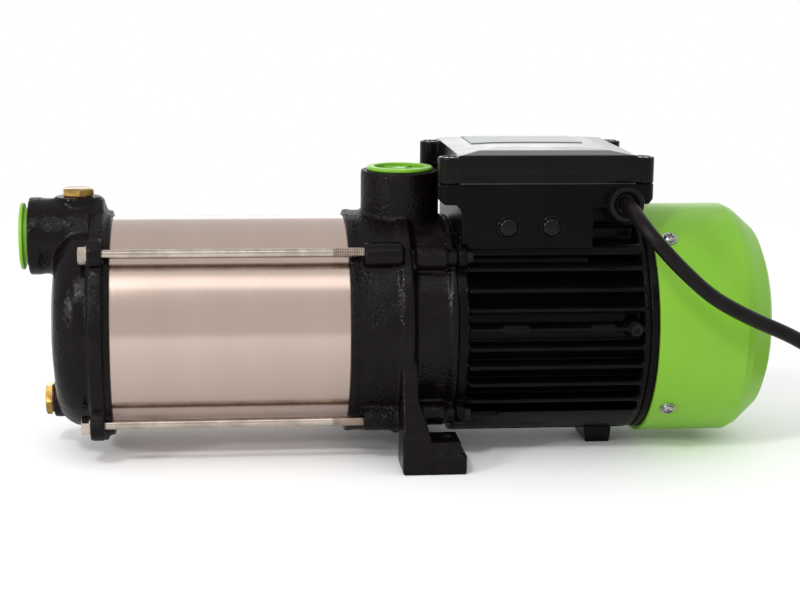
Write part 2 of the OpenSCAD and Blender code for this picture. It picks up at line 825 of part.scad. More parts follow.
module bearing_outer(x0, x1, d, race) {
    color([0.72, 0.72, 0.74])
        difference() {
            tube_x(x0, x1, d, 2 * race + 3.4);
            on_shaft((x0 + x1) / 2)
                rotate_extrude()
                    translate([race, 0])
                        circle(r = bearing_ball_r + slip, $fn = 32);
        }
}

module bearing_inner(x0, x1, bore, race) {
    color([0.72, 0.72, 0.74])
        difference() {
            tube_x(x0, x1, 2 * race - 3.4, bore + slip);
            on_shaft((x0 + x1) / 2)
                rotate_extrude()
                    translate([race, 0])
                        circle(r = bearing_ball_r + slip, $fn = 32);
        }
}

bearing_ball_r = 3;
bearing_balls = 8;
front_race = (front_bearing_d + front_journal_d) / 4;
rear_race = (rear_bearing_d + rear_journal_d) / 4;
module bearing_balls(x0, x1, race) {
    color([0.8, 0.7, 0.5])
        on_shaft((x0 + x1) / 2) {
            for (i = [0 : bearing_balls - 1])
                rotate([0, 0, i * 360 / bearing_balls])
                    translate([race, 0, 0])
                        sphere(r = bearing_ball_r, $fn = 32);
            difference() {
                translate([0, 0, -1.6])
                    cylinder(h = 3.2, r = race + 1.2);
                translate([0, 0, -3])
                    cylinder(h = 6, r = race - 1.2);
            }
        }
}

module front_bearing_outer() {
    bearing_outer(front_bearing_x0, front_bearing_x1, front_bearing_d, front_race);
}

module front_bearing_inner() {
    bearing_inner(front_bearing_x0, front_bearing_x1, front_journal_d, front_race);
}

module front_bearing_balls() {
    bearing_balls(front_bearing_x0, front_bearing_x1, front_race);
}

module rear_bearing_outer() {
    bearing_outer(rear_bearing_x0, rear_bearing_x1, rear_bearing_d, rear_race);
}

module rear_bearing_inner() {
    bearing_inner(rear_bearing_x0, rear_bearing_x1, rear_journal_d, rear_race);
}

module rear_bearing_balls() {
    bearing_balls(rear_bearing_x0, rear_bearing_x1, rear_race);
}

// Spring washer that loads the rear bearing's outer ring
module wave_washer() {
    color([0.6, 0.6, 0.62])
        tube_x(rear_bearing_x1, rear_bearing_x1 + wave_t, rear_bearing_d - 0.4, rear_bearing_d - 6);
}

fin_ends = [housing_x0 + 6, housing_x1 - 3.5];
belly_top = -46;
screw_head_d = 8.4;
screw_head_h = 3.4;
ear_t = 5;
module cooling_fins() {
    count = 5;
    intersection() {
        rod_x(fin_ends[0], fin_ends[1] + 1, fin_d);
        for (k = [-4 : count])
            translate([fin_ends[0], -fin_d / 2, shaft_h + fin_offset + k * fin_pitch - fin_t / 2])
                cube([fin_ends[1] - fin_ends[0] + 1, fin_d, fin_t]);
    }
}

module fin_pad(x0, x1) {
    pad_h = 5;
    for (side = [-1, 1])
        translate([0, side * (fin_d / 2 - 8), shaft_h + fin_offset + 0.6])
            rotate([side * 90, 0, 0])
                translate([0, 0, -8.4]) {
                    translate([x0 + pad_h / 2, -pad_h / 2, 0])
                        cube([x1 - x0 - pad_h, pad_h, 8.4]);
                    for (x = [x0 + pad_h / 2, x1 - pad_h / 2])
                        translate([x, 0, 0])
                            cylinder(h = 8.4, d = pad_h, $fn = 32);
                }
}

earth_x = housing_x1 - 9.2;
earth_d = 9;
module motor_housing() {
    chamfer_r = max(fin_d, bracket_rear_d) / 2;
    slots = 5;
    color([0.07, 0.07, 0.075])
        difference() {
            union() {
                rod_x(housing_x0, housing_x1, core_d);
                rod_x(housing_x0, fin_ends[0], bracket_rear_d - 1);
                rod_x(fin_ends[1], housing_x1, fin_d - 1);
                cooling_fins();
                fin_pad(housing_x0 + 24.3, housing_x0 + 40.4);
                fin_pad(housing_x0 + 75, housing_x0 + 90);
                intersection() {
                    rod_x(fin_ends[0] - 5.5, fin_ends[1], fin_d);
                    translate([housing_x0, -fin_d / 2, shaft_h - fin_d / 2])
                        cube([housing_len, fin_d, fin_d / 2 + belly_top]);
                }
                translate([saddle_x0 - 1, -44, shaft_h + 45])
                    cube([fin_ends[1] - saddle_x0 + 1, 88, saddle_low - 45 - 0.3]);
                translate([saddle_x0, -40, shaft_h + 40])
                    cube([saddle_len, 80, saddle_top_z - shaft_h - 40]);
                translate([saddle_x1 + 0.6, -26, shaft_h + 40])
                    cube([fin_ends[1] - saddle_x1 - 0.6, 52, box_floor - 40 - face_gap]);
                at_corners(motor_screw_y, motor_screw_z)
                    rod_x(housing_x0, housing_x0 + ear_t, 12.6);
                translate([earth_x, -fin_d / 2 - 0.5, shaft_h + fin_offset])
                    rotate([-90, 0, 0])
                        cylinder(h = 14, d = earth_d);
            }
            rod_x(housing_x0 - 1, housing_x1 + 1, stator_d + slip);
            for (i = [0 : slots - 1])
                translate([fin_ends[0] + 4, (i - (slots - 1) / 2) * 11 - 3.5, shaft_h - fin_d / 2 - 1])
                    cube([fin_ends[1] - fin_ends[0] - 8, 7, 11]);
            translate([housing_x0, -chamfer_r, shaft_h - chamfer_r])
                rotate([0, -38, 0])
                    translate([-12, 0, -2])
                        cube([12, 2 * chamfer_r, 14]);
            at_corners(motor_screw_y, motor_screw_z)
                rod_x(housing_x0 - 1, housing_x0 + ear_t + 1, motor_screw_d + 0.6);
            at_corners(motor_screw_y, motor_screw_z)
                rod_x(housing_x0 + ear_t, housing_x0 + ear_t + 20, screw_head_d + 2);
            translate([earth_x, -fin_d / 2 - 1, shaft_h + fin_offset])
                rotate([-90, 0, 0])
                    cylinder(h = 11, d = 4 + 2 * slip);
            translate([saddle_x0 - 0.3, -60, saddle_top_z])
                cube([saddle_len + 0.6, 120, 40]);
            at_box_screws()
                translate([0, 0, -7])
                    cylinder(h = 8, d = 4, $fn = 24);
        }
}

module motor_screws() {
    color([0.2, 0.2, 0.21])
        for (sy = [-1, 1], sz = [-1, 1])
            difference() {
                union() {
                    rod_x(bracket_x1 - 17, housing_x0 + ear_t, motor_screw_d, [sy * motor_screw_y, sz * motor_screw_z]);
                    rod_x(housing_x0 + ear_t, housing_x0 + ear_t + screw_head_h, screw_head_d,
                        [sy * motor_screw_y, sz * motor_screw_z]);
                }
                hex_x(housing_x0 + ear_t + 2, housing_x0 + ear_t + screw_head_h + 1, 4,
                    [sy * motor_screw_y, sz * motor_screw_z]);
            }
}

module earth_screw() {
    color([0.6, 0.58, 0.5])
        translate([earth_x, -fin_d / 2 - 0.5, shaft_h + fin_offset])
            rotate([-90, 0, 0])
                difference() {
                    union() {
                        cylinder(h = 9, d = 4);
                        translate([0, 0, -1.8])
                            cylinder(h = 1.8, d = 7);
                    }
                    translate([0, 0, -2])
                        cylinder(h = 1.6, d = 3.4, $fn = 6);
                }
}

stator_slots = 24;
module stator_core() {
    color([0.5, 0.5, 0.52])
        difference() {
            tube_x(stator_x0, stator_x1, stator_d, stator_bore_d);
            for (i = [0 : stator_slots - 1])
                on_shaft(stator_x0 - 1)
                    rotate([0, 0, i * 360 / stator_slots])
                        translate([stator_bore_d / 2 + 1.4, -1.7, 0])
                            cube([11, 3.4, stator_len + 2]);
        }
}

module stator_windings() {
    end_turn = 15;
    color([0.72, 0.36, 0.14]) {
        for (x = [stator_x0 - end_turn, stator_x1])
            tube_x(x, x + end_turn, stator_d - 8, stator_bore_d + 8);
        for (i = [0 : stator_slots - 1])
            on_shaft(stator_x0 - 0.5)
                rotate([0, 0, i * 360 / stator_slots])
                    translate([stator_bore_d / 2 + 4, -1.5, 0])
                        cube([8, 3, stator_len + 1]);
    }
}

module rotor_core() {
    color([0.5, 0.5, 0.52])
        tube_x(stator_x0, stator_x1, rotor_d, rotor_shaft_d + 2 * slip);
}

// Cast rings at the rotor's ends, each with its small blades
module rotor_end_rings() {
    ring_t = 7;
    blades = 9;
    color([0.75, 0.76, 0.78])
        for (end = [[stator_x0 - ring_t, -1], [stator_x1, 1]]) {
            tube_x(end[0], end[0] + ring_t, rotor_d - 2, rotor_d - 20);
            for (i = [0 : blades - 1])
                on_shaft(end[0] + (end[1] > 0 ? ring_t - 0.5 : -6.5))
                    rotate([0, 0, i * 360 / blades])
                        translate([rotor_d / 2 - 9, -0.9, 0])
                            cube([7, 1.8, 7]);
        }
}

lug_r = cover_d / 2 - cover_wall - face_gap;
cover_screw_x = shield_x1 + 6;
cover_screw_angles = [52, 128, 220, 320];
module at_cover_screws() {
    for (a = cover_screw_angles)
        translate([cover_screw_x, 0, shaft_h])
            rotate([a - 90, 0, 0])
                children();
}

module end_shield() {
    hub_d_out = rear_bearing_d + 2 * bearing_housing_wall;
    color([0.07, 0.07, 0.075])
        difference() {
            union() {
                rod_x(housing_x1, shield_x1, 2 * lug_r);
                rod_x(rear_bearing_x0, shield_x1 + 2, hub_d_out);
                intersection() {
                    tube_x(shield_x1 - 1, cover_screw_x + 5, 2 * lug_r, 2 * lug_r - 26);
                    at_cover_screws()
                        translate([-10, -8, 0])
                            cube([20, 16, lug_r]);
                }
            }
            rod_x(rear_bearing_x0 - 1, rear_bearing_x1 + wave_t, rear_bearing_d + slip);
            rod_x(rear_bearing_x0, shield_x1 + 3, rear_journal_d + 4);
            tube_x(housing_x1 - 1, shield_x1 - 3.5, stator_d + slip, hub_d_out);
            at_cover_screws()
                translate([0, 0, lug_r - 9])
                    cylinder(h = 10, d = 4 + 2 * slip);
            at_shield_screws()
                rod_x(housing_x1 - 1, shield_x1 + 1, 4.5);
            at_shield_screws()
                rod_x(shield_x1 - 3, shield_x1 + 1, 8.4);
        }
}

shield_screw_r = (core_d + stator_d) / 4 + 4.5;
module at_shield_screws() {
    for (a = [0, 90, 180, 270])
        translate([0, 0, shaft_h])
            rotate([a, 0, 0])
                translate([0, 0, shield_screw_r - shaft_h])
                    children();
}

// Screws that hold the end shield on the housing's rear flange
module shield_screws() {
    color([0.6, 0.58, 0.5])
        at_shield_screws() {
            rod_x(housing_x1, shield_x1 - 3, 4.3);
            rod_x(shield_x1 - 3, shield_x1 - 0.5, 8);
        }
}

// Small foot under the housing's rear end
module rear_support() {
    support_x = housing_x0 + 83.2;
    support_len = 17.2;
    taper = 1.5;
    top_z = shaft_h - fin_d / 2 + 3;
    color([0.12, 0.12, 0.12])
        difference() {
            translate([support_x, 15, 0])
                rotate([90, 0, 0])
                    linear_extrude(height = 30)
                        polygon([[taper, 0], [support_len - taper, 0], [support_len, top_z], [0, top_z]]);
            rod_x(support_x - 1, support_x + support_len + 1, fin_d + slip);
        }
}

module fan() {
    blade_t = 2;
    color([0.1, 0.1, 0.1])
        on_shaft(fan_x0)
            difference() {
                union() {
                    cylinder(h = fan_len, d = rear_journal_d + 9);
                    translate([0, 0, 3])
                        cylinder(h = 2.5, d = fan_d - 16);
                    for (i = [0 : fan_blades - 1])
                        rotate([0, 0, i * 360 / fan_blades])
                            translate([rear_journal_d / 2 + 2, -blade_t / 2, 4])
                                cube([fan_d / 2 - rear_journal_d / 2 - 2, blade_t, fan_len - 5]);
                }
                translate([0, 0, -1])
                    cylinder(h = fan_len + 2, d = rear_journal_d + 2 * slip);
            }
}

module fan_clip() {
    color([0.5, 0.5, 0.5])
        tube_x(fan_x0 + fan_len, fan_x0 + fan_len + 1.2, rear_journal_d + 6, rear_journal_d + slip);
}

grille_rings = 3;
grille_bars = 12;
module fan_cover() {
    back_r = cover_back_d / 2;
    side_r = cover_d / 2;
    slope = atan2(side_r - back_r, cover_shoulder);
    inner_step = cover_wall / cos(slope) - cover_wall * tan(slope);
    color([0.45, 0.74, 0.22])
        difference() {
            turned([
                [cover_x0, side_r], [cover_x1 - 4, side_r], [cover_x1 + 1, side_r - 2.5], [cover_x2 - 3, back_r + 5.5],
                [cover_x2, back_r - 1], [cover_x3 - 2, back_r * 0.55], [cover_x3, 0],
                [cover_x3 - cover_wall, 0], [cover_x3 - 2 - cover_wall, back_r * 0.55 - 0.5],
                [cover_x2 - cover_wall, back_r - 1 - cover_wall / 2], [cover_x2 - 3 - inner_step, back_r + 5.5 - inner_step],
                [cover_x1 - inner_step, side_r - 2.5 - inner_step], [cover_x1 - 4 - inner_step / 2, side_r - cover_wall],
                [cover_x0, side_r - cover_wall]
            ]);
            difference() {
                for (k = [0 : grille_rings - 1])
                    tube_x(cover_x2 - 20, cover_x3 + 5, 2 * (back_r - 5 - k * 10), 2 * (back_r - 11 - k * 10));
                for (i = [0 : grille_bars - 1])
                    on_shaft(cover_x2 - 22)
                        rotate([0, 0, i * 360 / grille_bars])
                            translate([0, -1.5, 0])
                                cube([back_r + 5, 3, 40]);
            }
            at_cover_screws()
                translate([0, 0, lug_r - 2])
                    cylinder(h = 10, d = 4.6);
        }
}

module fan_cover_screws() {
    color([0.75, 0.73, 0.68])
        at_cover_screws()
            difference() {
                union() {
                    translate([0, 0, lug_r - 8])
                        cylinder(h = 8 + cover_d / 2 - lug_r, d = 4);
                    translate([0, 0, cover_d / 2])
                        cylinder(h = 0.9, d = 9.4);
                    translate([0, 0, cover_d / 2 + 0.9])
                        cylinder(h = 2, d = 7);
                }
                translate([-2.2, -0.5, cover_d / 2 + 1.6])
                    cube([4.4, 1, 3]);
                translate([-0.5, -2.2, cover_d / 2 + 1.6])
                    cube([1, 4.4, 3]);
            }
}

// The box's outline with its four corner posts, from height z0 to z1, moved in by a wall
module box_block(z0, z1, inset = 0) {
    translate([box_x0 + inset, -box_half + inset, z0])
        cube([box_len - 2 * inset, 2 * (box_half - inset), z1 - z0]);
}

module posts(z0, z1, d) {
    for (x = post_xs, y = post_ys)
        translate([x, y, z0])
            cylinder(h = z1 - z0, d = d, $fn = 48);
}

module post_webs(z0, z1) {
    for (y = post_ys)
        translate([post_xs[0], y - post_d / 2, z0])
            cube([post_xs[1] - post_xs[0], post_d, z1 - z0]);
}

module terminal_box() {
    post_foot = 3.5;
    color([0.08, 0.08, 0.085])
        difference() {
            union() {
                box_block(box_floor_z, box_rim_z);
                translate([saddle_x0, -saddle_half, shaft_h + saddle_low])
                    cube([saddle_len, 2 * saddle_half, box_floor - saddle_low + 1]);
                difference() {
                    union() {
                        posts(box_floor_z + 2, box_rim_z, post_d);
                        post_webs(box_floor_z + 2, box_rim_z);
                    }
                    for (side = [0, 1])
                        translate([side == 0 ? box_x0 : box_x1, -60, box_floor_z])
                            rotate([0, side == 0 ? 40 : -40, 0])
                                translate([side == 0 ? -30 : 0, 0, -10 - post_foot])
                                    cube([30, 120, 10]);
                }
                translate([gland_x, gland_face_y, gland_z])
                    rotate([-90, 0, 0])
                        cylinder(h = 20, d = gland_d);
            }
            translate([saddle_x0 - 1, -44.3, shaft_h + saddle_low - 1])
                cube([saddle_len + 2, 88.6, saddle_top_z - shaft_h - saddle_low + 1]);
            translate([saddle_x0 + box_wall, -38, saddle_top_z + box_wall])
                cube([saddle_len - 2 * box_wall, 76, 40]);
            box_block(box_floor_z + box_wall, box_rim_z + 1, box_wall);
            translate([gland_x, gland_face_y - 1, gland_z])
                rotate([-90, 0, 0])
                    cylinder(h = 20, d = gland_bore_d + 4);
            translate([gland_x, gland_face_y - 1, gland_z])
                rotate([-90, 0, 0])
                    cylinder(h = 30, d = gland_bore_d - 2);
            posts(box_rim_z - 9, box_rim_z + 1, 3.6);
            at_corners(motor_screw_y, motor_screw_z)
                rod_x(housing_x0, housing_x0 + ear_t + 0.4, 14.2);
            for (dx = [0, knockout_gap])
                translate([knockout_x + dx, -saddle_half - 1, knockout_z])
                    rotate([-90, 0, 0])
                        cylinder(h = 2.5, d = knockout_d + 2 * slip);
            at_box_screws()
                translate([0, 0, -1])
                    cylinder(h = 5, d = 4.4, $fn = 24);
        }
}

// The two screws that hold the box down, their heads on the box's inner floor
module at_box_screws() {
    for (x = [saddle_x0 + 9, saddle_x1 - 9])
        translate([x, 0, saddle_top_z])
            children();
}

module box_screws() {
    color([0.75, 0.73, 0.68])
        at_box_screws() {
            translate([0, 0, -6])
                cylinder(h = 6 + box_wall, d = 3.9, $fn = 24);
            translate([0, 0, box_wall])
                cylinder(h = 2.4, d = 7, $fn = 24);
        }
}

// Round discs that close the two spare cable holes
module box_knockouts() {
    rise = 2.4;
    sphere_r = (pow(knockout_d / 2, 2) + rise * rise) / (2 * rise);
    color([0.08, 0.08, 0.085])
        for (dx = [0, knockout_gap])
            translate([knockout_x + dx, -saddle_half + 1.5, knockout_z])
                rotate([90, 0, 0])
                    intersection() {
                        cylinder(h = 1.5 + rise, d = knockout_d);
                        translate([0, 0, 1.5 + rise - sphere_r])
                            sphere(r = sphere_r);
                    }
}

gasket_t = 0.8;
module box_gasket() {
    color([0.15, 0.15, 0.16])
        difference() {
            box_block(box_rim_z, box_rim_z + gasket_t, 0.4);
            box_block(box_rim_z - 1, box_rim_z + gasket_t + 1, box_wall - 0.4);
            posts(box_rim_z - 1, box_rim_z + gasket_t + 1, post_d + 0.2);
        }
}

// Body of the lid up to its top at height z, crowned over its length and its width
module lid_top(z0, z) {
    over_len = [for (i = [0 : 8]) let (t = i / 8) [box_x0 + box_len * t, z + lid_crown * (1 - pow(2 * t - 1, 4))]];
    over_width = [for (i = [0 : 8]) let (t = i / 4 - 1) [box_half * t, z + lid_crown * (1 - pow(t, 4))]];
    intersection() {
        translate([0, box_half, 0])
            rotate([90, 0, 0])
                linear_extrude(height = 2 * box_half)
                    polygon(concat([[box_x1, z0], [box_x0, z0]], over_len));
        translate([box_x0, 0, 0])
            rotate([90, 0, 90])
                linear_extrude(height = box_len)
                    polygon(concat([[box_half, z0], [-box_half, z0]], over_width));
    }
}

module box_lid() {
    lid_z0 = box_rim_z + gasket_t;
    band_z = shaft_h + 94;
    color([0.08, 0.08, 0.085])
        difference() {
            union() {
                lid_top(lid_z0, lid_z);
                posts(box_rim_z + slip, lid_z - 1, post_d);
                post_webs(lid_z0, lid_z - 1.6);
                translate([box_x0 - 0.6, -box_half - 0.6, lid_z0])
                    cube([box_len + 1.2, 2 * box_half + 1.2, band_z - lid_z0 - 3]);
                translate([box_x0 - 0.4, -box_half - 0.4, band_z])
                    cube([box_len + 0.8, 2 * box_half + 0.8, 4.4]);
            }
            box_block(lid_z0 - 1, lid_z - box_wall, box_wall);
            posts(box_rim_z - 1, lid_z + 1, 4.4);
            posts(lid_z - 4, lid_z + 1, 8.4);
        }
}

module lid_screws() {
    color([0.6, 0.58, 0.55])
        difference() {
            union() {
                posts(box_rim_z - 8, lid_z - 4, 3.5);
                posts(lid_z - 4, lid_z - 1.6, 7.6);
            }
            for (x = post_xs, y = post_ys) {
                translate([x - 2.2, y - 0.5, lid_z - 2.6])
                    cube([4.4, 1, 2]);
                translate([x - 0.5, y - 2.2, lid_z - 2.6])
                    cube([1, 4.4, 2]);
            }
        }
}

// Blank plate on the lid, following its crown
plate_t = 0.5;
module lid_plate() {
    color([0.85, 0.85, 0.85])
        intersection() {
            difference() {
                lid_top(lid_z - 4, lid_z + plate_t);
                lid_top(lid_z - 5, lid_z);
            }
            translate([box_x0 + 0.13 * box_len, -4, lid_z])
                cube([0.65 * box_len, 0.82 * box_half, 10]);
        }
}

capacitor_d = 30;
module capacitor() {
    cap_x0 = saddle_x0 + box_wall + 2;
    color([0.85, 0.85, 0.82])
        translate([cap_x0, 21, saddle_top_z + box_wall + capacitor_d / 2])
            rotate([0, 90, 0]) {
                cylinder(h = 62, d = capacitor_d);
                for (y = [-5, 5])
                    translate([0, y, 61])
                        cylinder(h = 5, d = 3, $fn = 24);
            }
}

module terminal_block() {
    poles = 3;
    block_x0 = saddle_x0 + 14;
    color([0.2, 0.2, 0.2])
        translate([block_x0, -32, saddle_top_z + box_wall])
            difference() {
                cube([36, 20, 15]);
                for (i = [0 : poles - 1])
                    translate([6 + i * 12, 10, 9])
                        cylinder(h = 7, d = 6, $fn = 32);
            }
}

module gland_nut() {
    color([0.09, 0.09, 0.09])
        translate([gland_x, gland_face_y, gland_z])
            rotate([90, 0, 0])
                difference() {
                    union() {
                        cylinder(h = gland_out, d = gland_d);
                        translate([0, 0, -8])
                            cylinder(h = 9, d = gland_bore_d + 4 - 2 * slip);
                    }
                    translate([0, 0, -9])
                        cylinder(h = gland_out + 10, d = gland_bore_d);
                }
}

module gland_seal() {
    color([0.05, 0.05, 0.05])
        translate([gland_x, seal_face_y, gland_z])
            rotate([-90, 0, 0])
                difference() {
                    cylinder(h = 9, d = gland_bore_d - 2 * slip);
                    translate([0, 0, 1])
                        cylinder(h = 9, d = cord_d);
                }
}

// Direction of a route at its point i
function heading(route, i) =
    let (d = route[min(i + 1, len(route) - 1)] - route[max(i - 1, 0)]) d / norm(d);

// Rings of points round a route, each square to the route's direction there
function rings(route, r) = [
    for (i = [0 : len(route) - 1])
        let (
            t = heading(route, i),
            side = cross(t, abs(t[2]) < 0.9 ? [0, 0, 1] : [0, 1, 0]),
            u = side / norm(side),
            v = cross(u, t)
        )
        for (k = [0 : cord_sides - 1])
            let (a = k * 360 / cord_sides)
            route[i] + r * (u * cos(a) + v * sin(a))
];

module swept_tube(route, r) {
    n = len(route);
    m = cord_sides;
    polyhedron(
        points = rings(route, r),
        faces = concat(
            [[for (k = [0 : m - 1]) m - 1 - k]],
            [[for (k = [0 : m - 1]) (n - 1) * m + k]],
            [for (i = [0 : n - 2], k = [0 : m - 1])
                [i * m + k, i * m + (k + 1) % m, (i + 1) * m + (k + 1) % m, (i + 1) * m + k]]
        )
    );
}

module mains_cord() {
    color([0.06, 0.06, 0.06]) {
        swept_tube(cord_route, cord_d / 2);
        swept_tube(tail_route, cord_d / 2);
    }
}

module cord_coil() {
    color([0.06, 0.06, 0.06])
        translate([coil_centre[0], coil_centre[1], 0.1])
            rotate_extrude()
                translate([coil_in_r - cord_d / 2, 0])
                    square([coil_out_r - coil_in_r + cord_d, coil_layers * cord_d + 0.3]);
}

module mains_plug() {
    relief_len = 22;
    color([0.06, 0.06, 0.06])
        translate(plug_at)
            rotate([-90, 0, 0]) {
                cylinder(h = relief_len, d1 = cord_d + 2.5, d2 = cord_d + 7);
                translate([0, 0, relief_len])
                    cylinder(h = 8, d1 = cord_d + 9, d2 = plug_face_d - 3);
                translate([0, 0, relief_len + 8])
                    cylinder(h = plug_body_len - 8, d = plug_face_d);
            }
}

module plug_pins() {
    pin_d = 4.8;
    pin_len = 19;
    pin_half = 9.5;
    face_y = plug_at[1] + 22 + plug_body_len;
    color([0.75, 0.72, 0.6])
        for (side = [-1, 1])
            translate([plug_at[0] + side * pin_half, face_y, plug_at[2]])
                rotate([-90, 0, 0])
                    cylinder(h = pin_len, d = pin_d);
}

suction_casing();
suction_cap();
priming_plug();
priming_washer();
drain_plug();
drain_washer();
barrel();
barrel_o_rings();
tie_bolts();
discharge_bracket();
discharge_cap();
stage_casings();
diffusers();
impellers();
impeller_nut();
shaft();
seal_seat();
seal_head();
seal_spring();
front_bearing_outer();
front_bearing_inner();
front_bearing_balls();
rear_bearing_outer();
rear_bearing_inner();
rear_bearing_balls();
wave_washer();
motor_housing();
motor_screws();
earth_screw();
stator_core();
stator_windings();
rotor_core();
rotor_end_rings();
end_shield();
shield_screws();
rear_support();
fan();
fan_clip();
fan_cover();
fan_cover_screws();
terminal_box();
box_screws();
box_knockouts();
box_gasket();
box_lid();
lid_screws();
lid_plate();
capacitor();
terminal_block();
gland_nut();
gland_seal();
mains_cord();
cord_coil();
mains_plug();
plug_pins();
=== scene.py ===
import bpy
import json
import math
from mathutils import Matrix, Vector

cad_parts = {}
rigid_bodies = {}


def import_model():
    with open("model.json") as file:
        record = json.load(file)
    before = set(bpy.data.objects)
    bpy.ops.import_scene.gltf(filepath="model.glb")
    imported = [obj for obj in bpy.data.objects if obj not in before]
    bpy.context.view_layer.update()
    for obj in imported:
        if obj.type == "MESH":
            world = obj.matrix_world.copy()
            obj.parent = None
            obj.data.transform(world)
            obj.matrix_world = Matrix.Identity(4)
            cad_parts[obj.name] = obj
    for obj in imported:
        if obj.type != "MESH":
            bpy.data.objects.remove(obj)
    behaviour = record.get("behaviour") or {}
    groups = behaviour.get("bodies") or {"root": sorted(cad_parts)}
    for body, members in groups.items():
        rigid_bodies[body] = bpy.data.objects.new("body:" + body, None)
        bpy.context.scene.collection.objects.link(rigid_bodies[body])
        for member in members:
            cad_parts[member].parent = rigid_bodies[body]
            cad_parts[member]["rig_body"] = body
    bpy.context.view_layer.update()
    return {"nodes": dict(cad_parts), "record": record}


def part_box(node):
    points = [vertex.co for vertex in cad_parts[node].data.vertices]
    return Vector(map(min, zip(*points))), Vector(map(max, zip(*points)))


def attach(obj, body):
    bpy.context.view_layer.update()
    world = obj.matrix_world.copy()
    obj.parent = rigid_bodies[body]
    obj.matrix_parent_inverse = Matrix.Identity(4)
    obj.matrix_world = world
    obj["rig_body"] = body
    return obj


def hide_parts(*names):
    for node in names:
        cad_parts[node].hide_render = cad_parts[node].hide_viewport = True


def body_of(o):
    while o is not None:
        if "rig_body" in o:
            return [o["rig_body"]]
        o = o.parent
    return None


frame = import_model()
nodes = frame["nodes"]
mm = 0.001


# ---- camera, as the photograph was taken
camera = {
    "place": (-134.25, -1044.0, 289.7),  # mm, in the pump's frame
    "yaw": -6.19, "pitch": -11.0, "roll": -0.57,  # degrees
    "lens": 80.53, "sensor": 36,  # mm
    "farthest": 20,  # m
}
bpy.ops.object.select_all(action="DESELECT")
bpy.ops.object.camera_add(location=[c * mm for c in camera["place"]])
cam = bpy.context.object
cam.name = "photoCamera"
cam.rotation_mode = "QUATERNION"
turn = (Matrix.Rotation(math.radians(camera["yaw"]), 3, "Z")
        @ Matrix.Rotation(math.radians(camera["pitch"]), 3, "X")
        @ Matrix.Rotation(math.radians(camera["roll"]), 3, "Y")
        @ Matrix.Rotation(math.radians(90), 3, "X"))
cam.rotation_quaternion = turn.to_quaternion()
cam.data.lens = camera["lens"]
cam.data.sensor_width = camera["sensor"]
cam.data.clip_end = camera["farthest"]
bpy.context.scene.camera = cam
print("camera placed")


def hexColour(text):
    # sRGB hex to the linear numbers that shaders want
    parts = [int(text[i:i + 2], 16) / 255 for i in (1, 3, 5)]
    return [p / 12.92 if p <= 0.04045 else ((p + 0.055) / 1.055) ** 2.4 for p in parts] + [1]


def addNode(tree, kind, settings=None, links=None):
    # links: input name or index -> output socket
    node = tree.nodes.new(kind)
    for key, value in (settings or {}).items():
        if key == "stops":  # a colour ramp's stops
            for i, (place, colour) in enumerate(value):
                stop = node.color_ramp.elements[i]
                stop.position, stop.color = place, colour
        elif isinstance(key, int) or key in node.inputs:
            node.inputs[key].default_value = value
        else:
            setattr(node, key, value)
    for key, socket in (links or {}).items():
        tree.links.new(socket, node.inputs[key])
    return node


def newMaterial(name):
    material = bpy.data.materials.new(name)
    material.use_nodes = True
    tree = material.node_tree
    tree.nodes.clear()
    return material, tree


def finishMaterial(tree, shader):
    addNode(tree, "ShaderNodeOutputMaterial", {}, {"Surface": shader.outputs[0]})


def wear(piece, material):
    piece.data.materials.clear()
    piece.data.materials.append(material)


# ---- cord: from the gland down to the floor, into its coil and on to the plug
cordLook = {
    "diameter": 8.5, "coilCentre": (318, -12), "outerRing": 55, "innerRing": 37.4, "perTurn": 8.8,
    "floorZ": 4.4, "upperZ": 13.15, "lastRing": 56,  # mm
    "startAngle": -90, "climb": (630, 710), "endAngle": 1440, "angleStep": 12,  # degrees round the coil
    "curveSteps": 3, "sectionSteps": 5,
}
cordRoute = [  # mm, the same points as the solids' route
    (101.7, -53, 150.5), (101.7, -63, 150.2), (102.5, -72.5, 148), (104.5, -81, 143.8), (108.5, -88, 137.6),
    (114.5, -92.5, 130.6), (121.3, -94.5, 123.2), (129, -95, 115.8), (137, -94, 108.7), (146, -92, 102),
    (155.8, -90, 96.2), (165.5, -88, 91.2), (175.2, -86, 86.6), (185, -84, 82.2), (194.5, -82, 77.6),
    (204, -80, 72.2), (213, -78, 65.6), (221.5, -76, 57.8), (229.5, -74.2, 49), (237.5, -72.6, 39.8),
    (245.8, -71.2, 30.8), (254.6, -70, 22.4), (264.2, -69, 15), (275, -68.2, 9.2), (287, -67.6, 5.6),
    (299.5, -67.2, 4.4), (309, -67, 4.4),
]
cordTail = [
    (374, -12, 13.2), (374, -4, 14), (374, 4, 15.8), (374, 12, 17.6), (374, 20, 18.8), (374, 26, 19.2),
]


def smoothLine(points, steps):
    # a smooth curve through the points, with this many steps from one to the next
    line = []
    for i in range(len(points) - 1):
        p0, p1, p2, p3 = [Vector(points[min(max(j, 0), len(points) - 1)]) for j in (i - 1, i, i + 1, i + 2)]
        for s in range(steps):
            t = s / steps
            line.append(0.5 * ((2 * p1) + (p2 - p0) * t + (2 * p0 - 5 * p1 + 4 * p2 - p3) * t * t
                               + (3 * p1 - p0 - 3 * p2 + p3) * t ** 3))
    line.append(Vector(points[-1]))
    return line


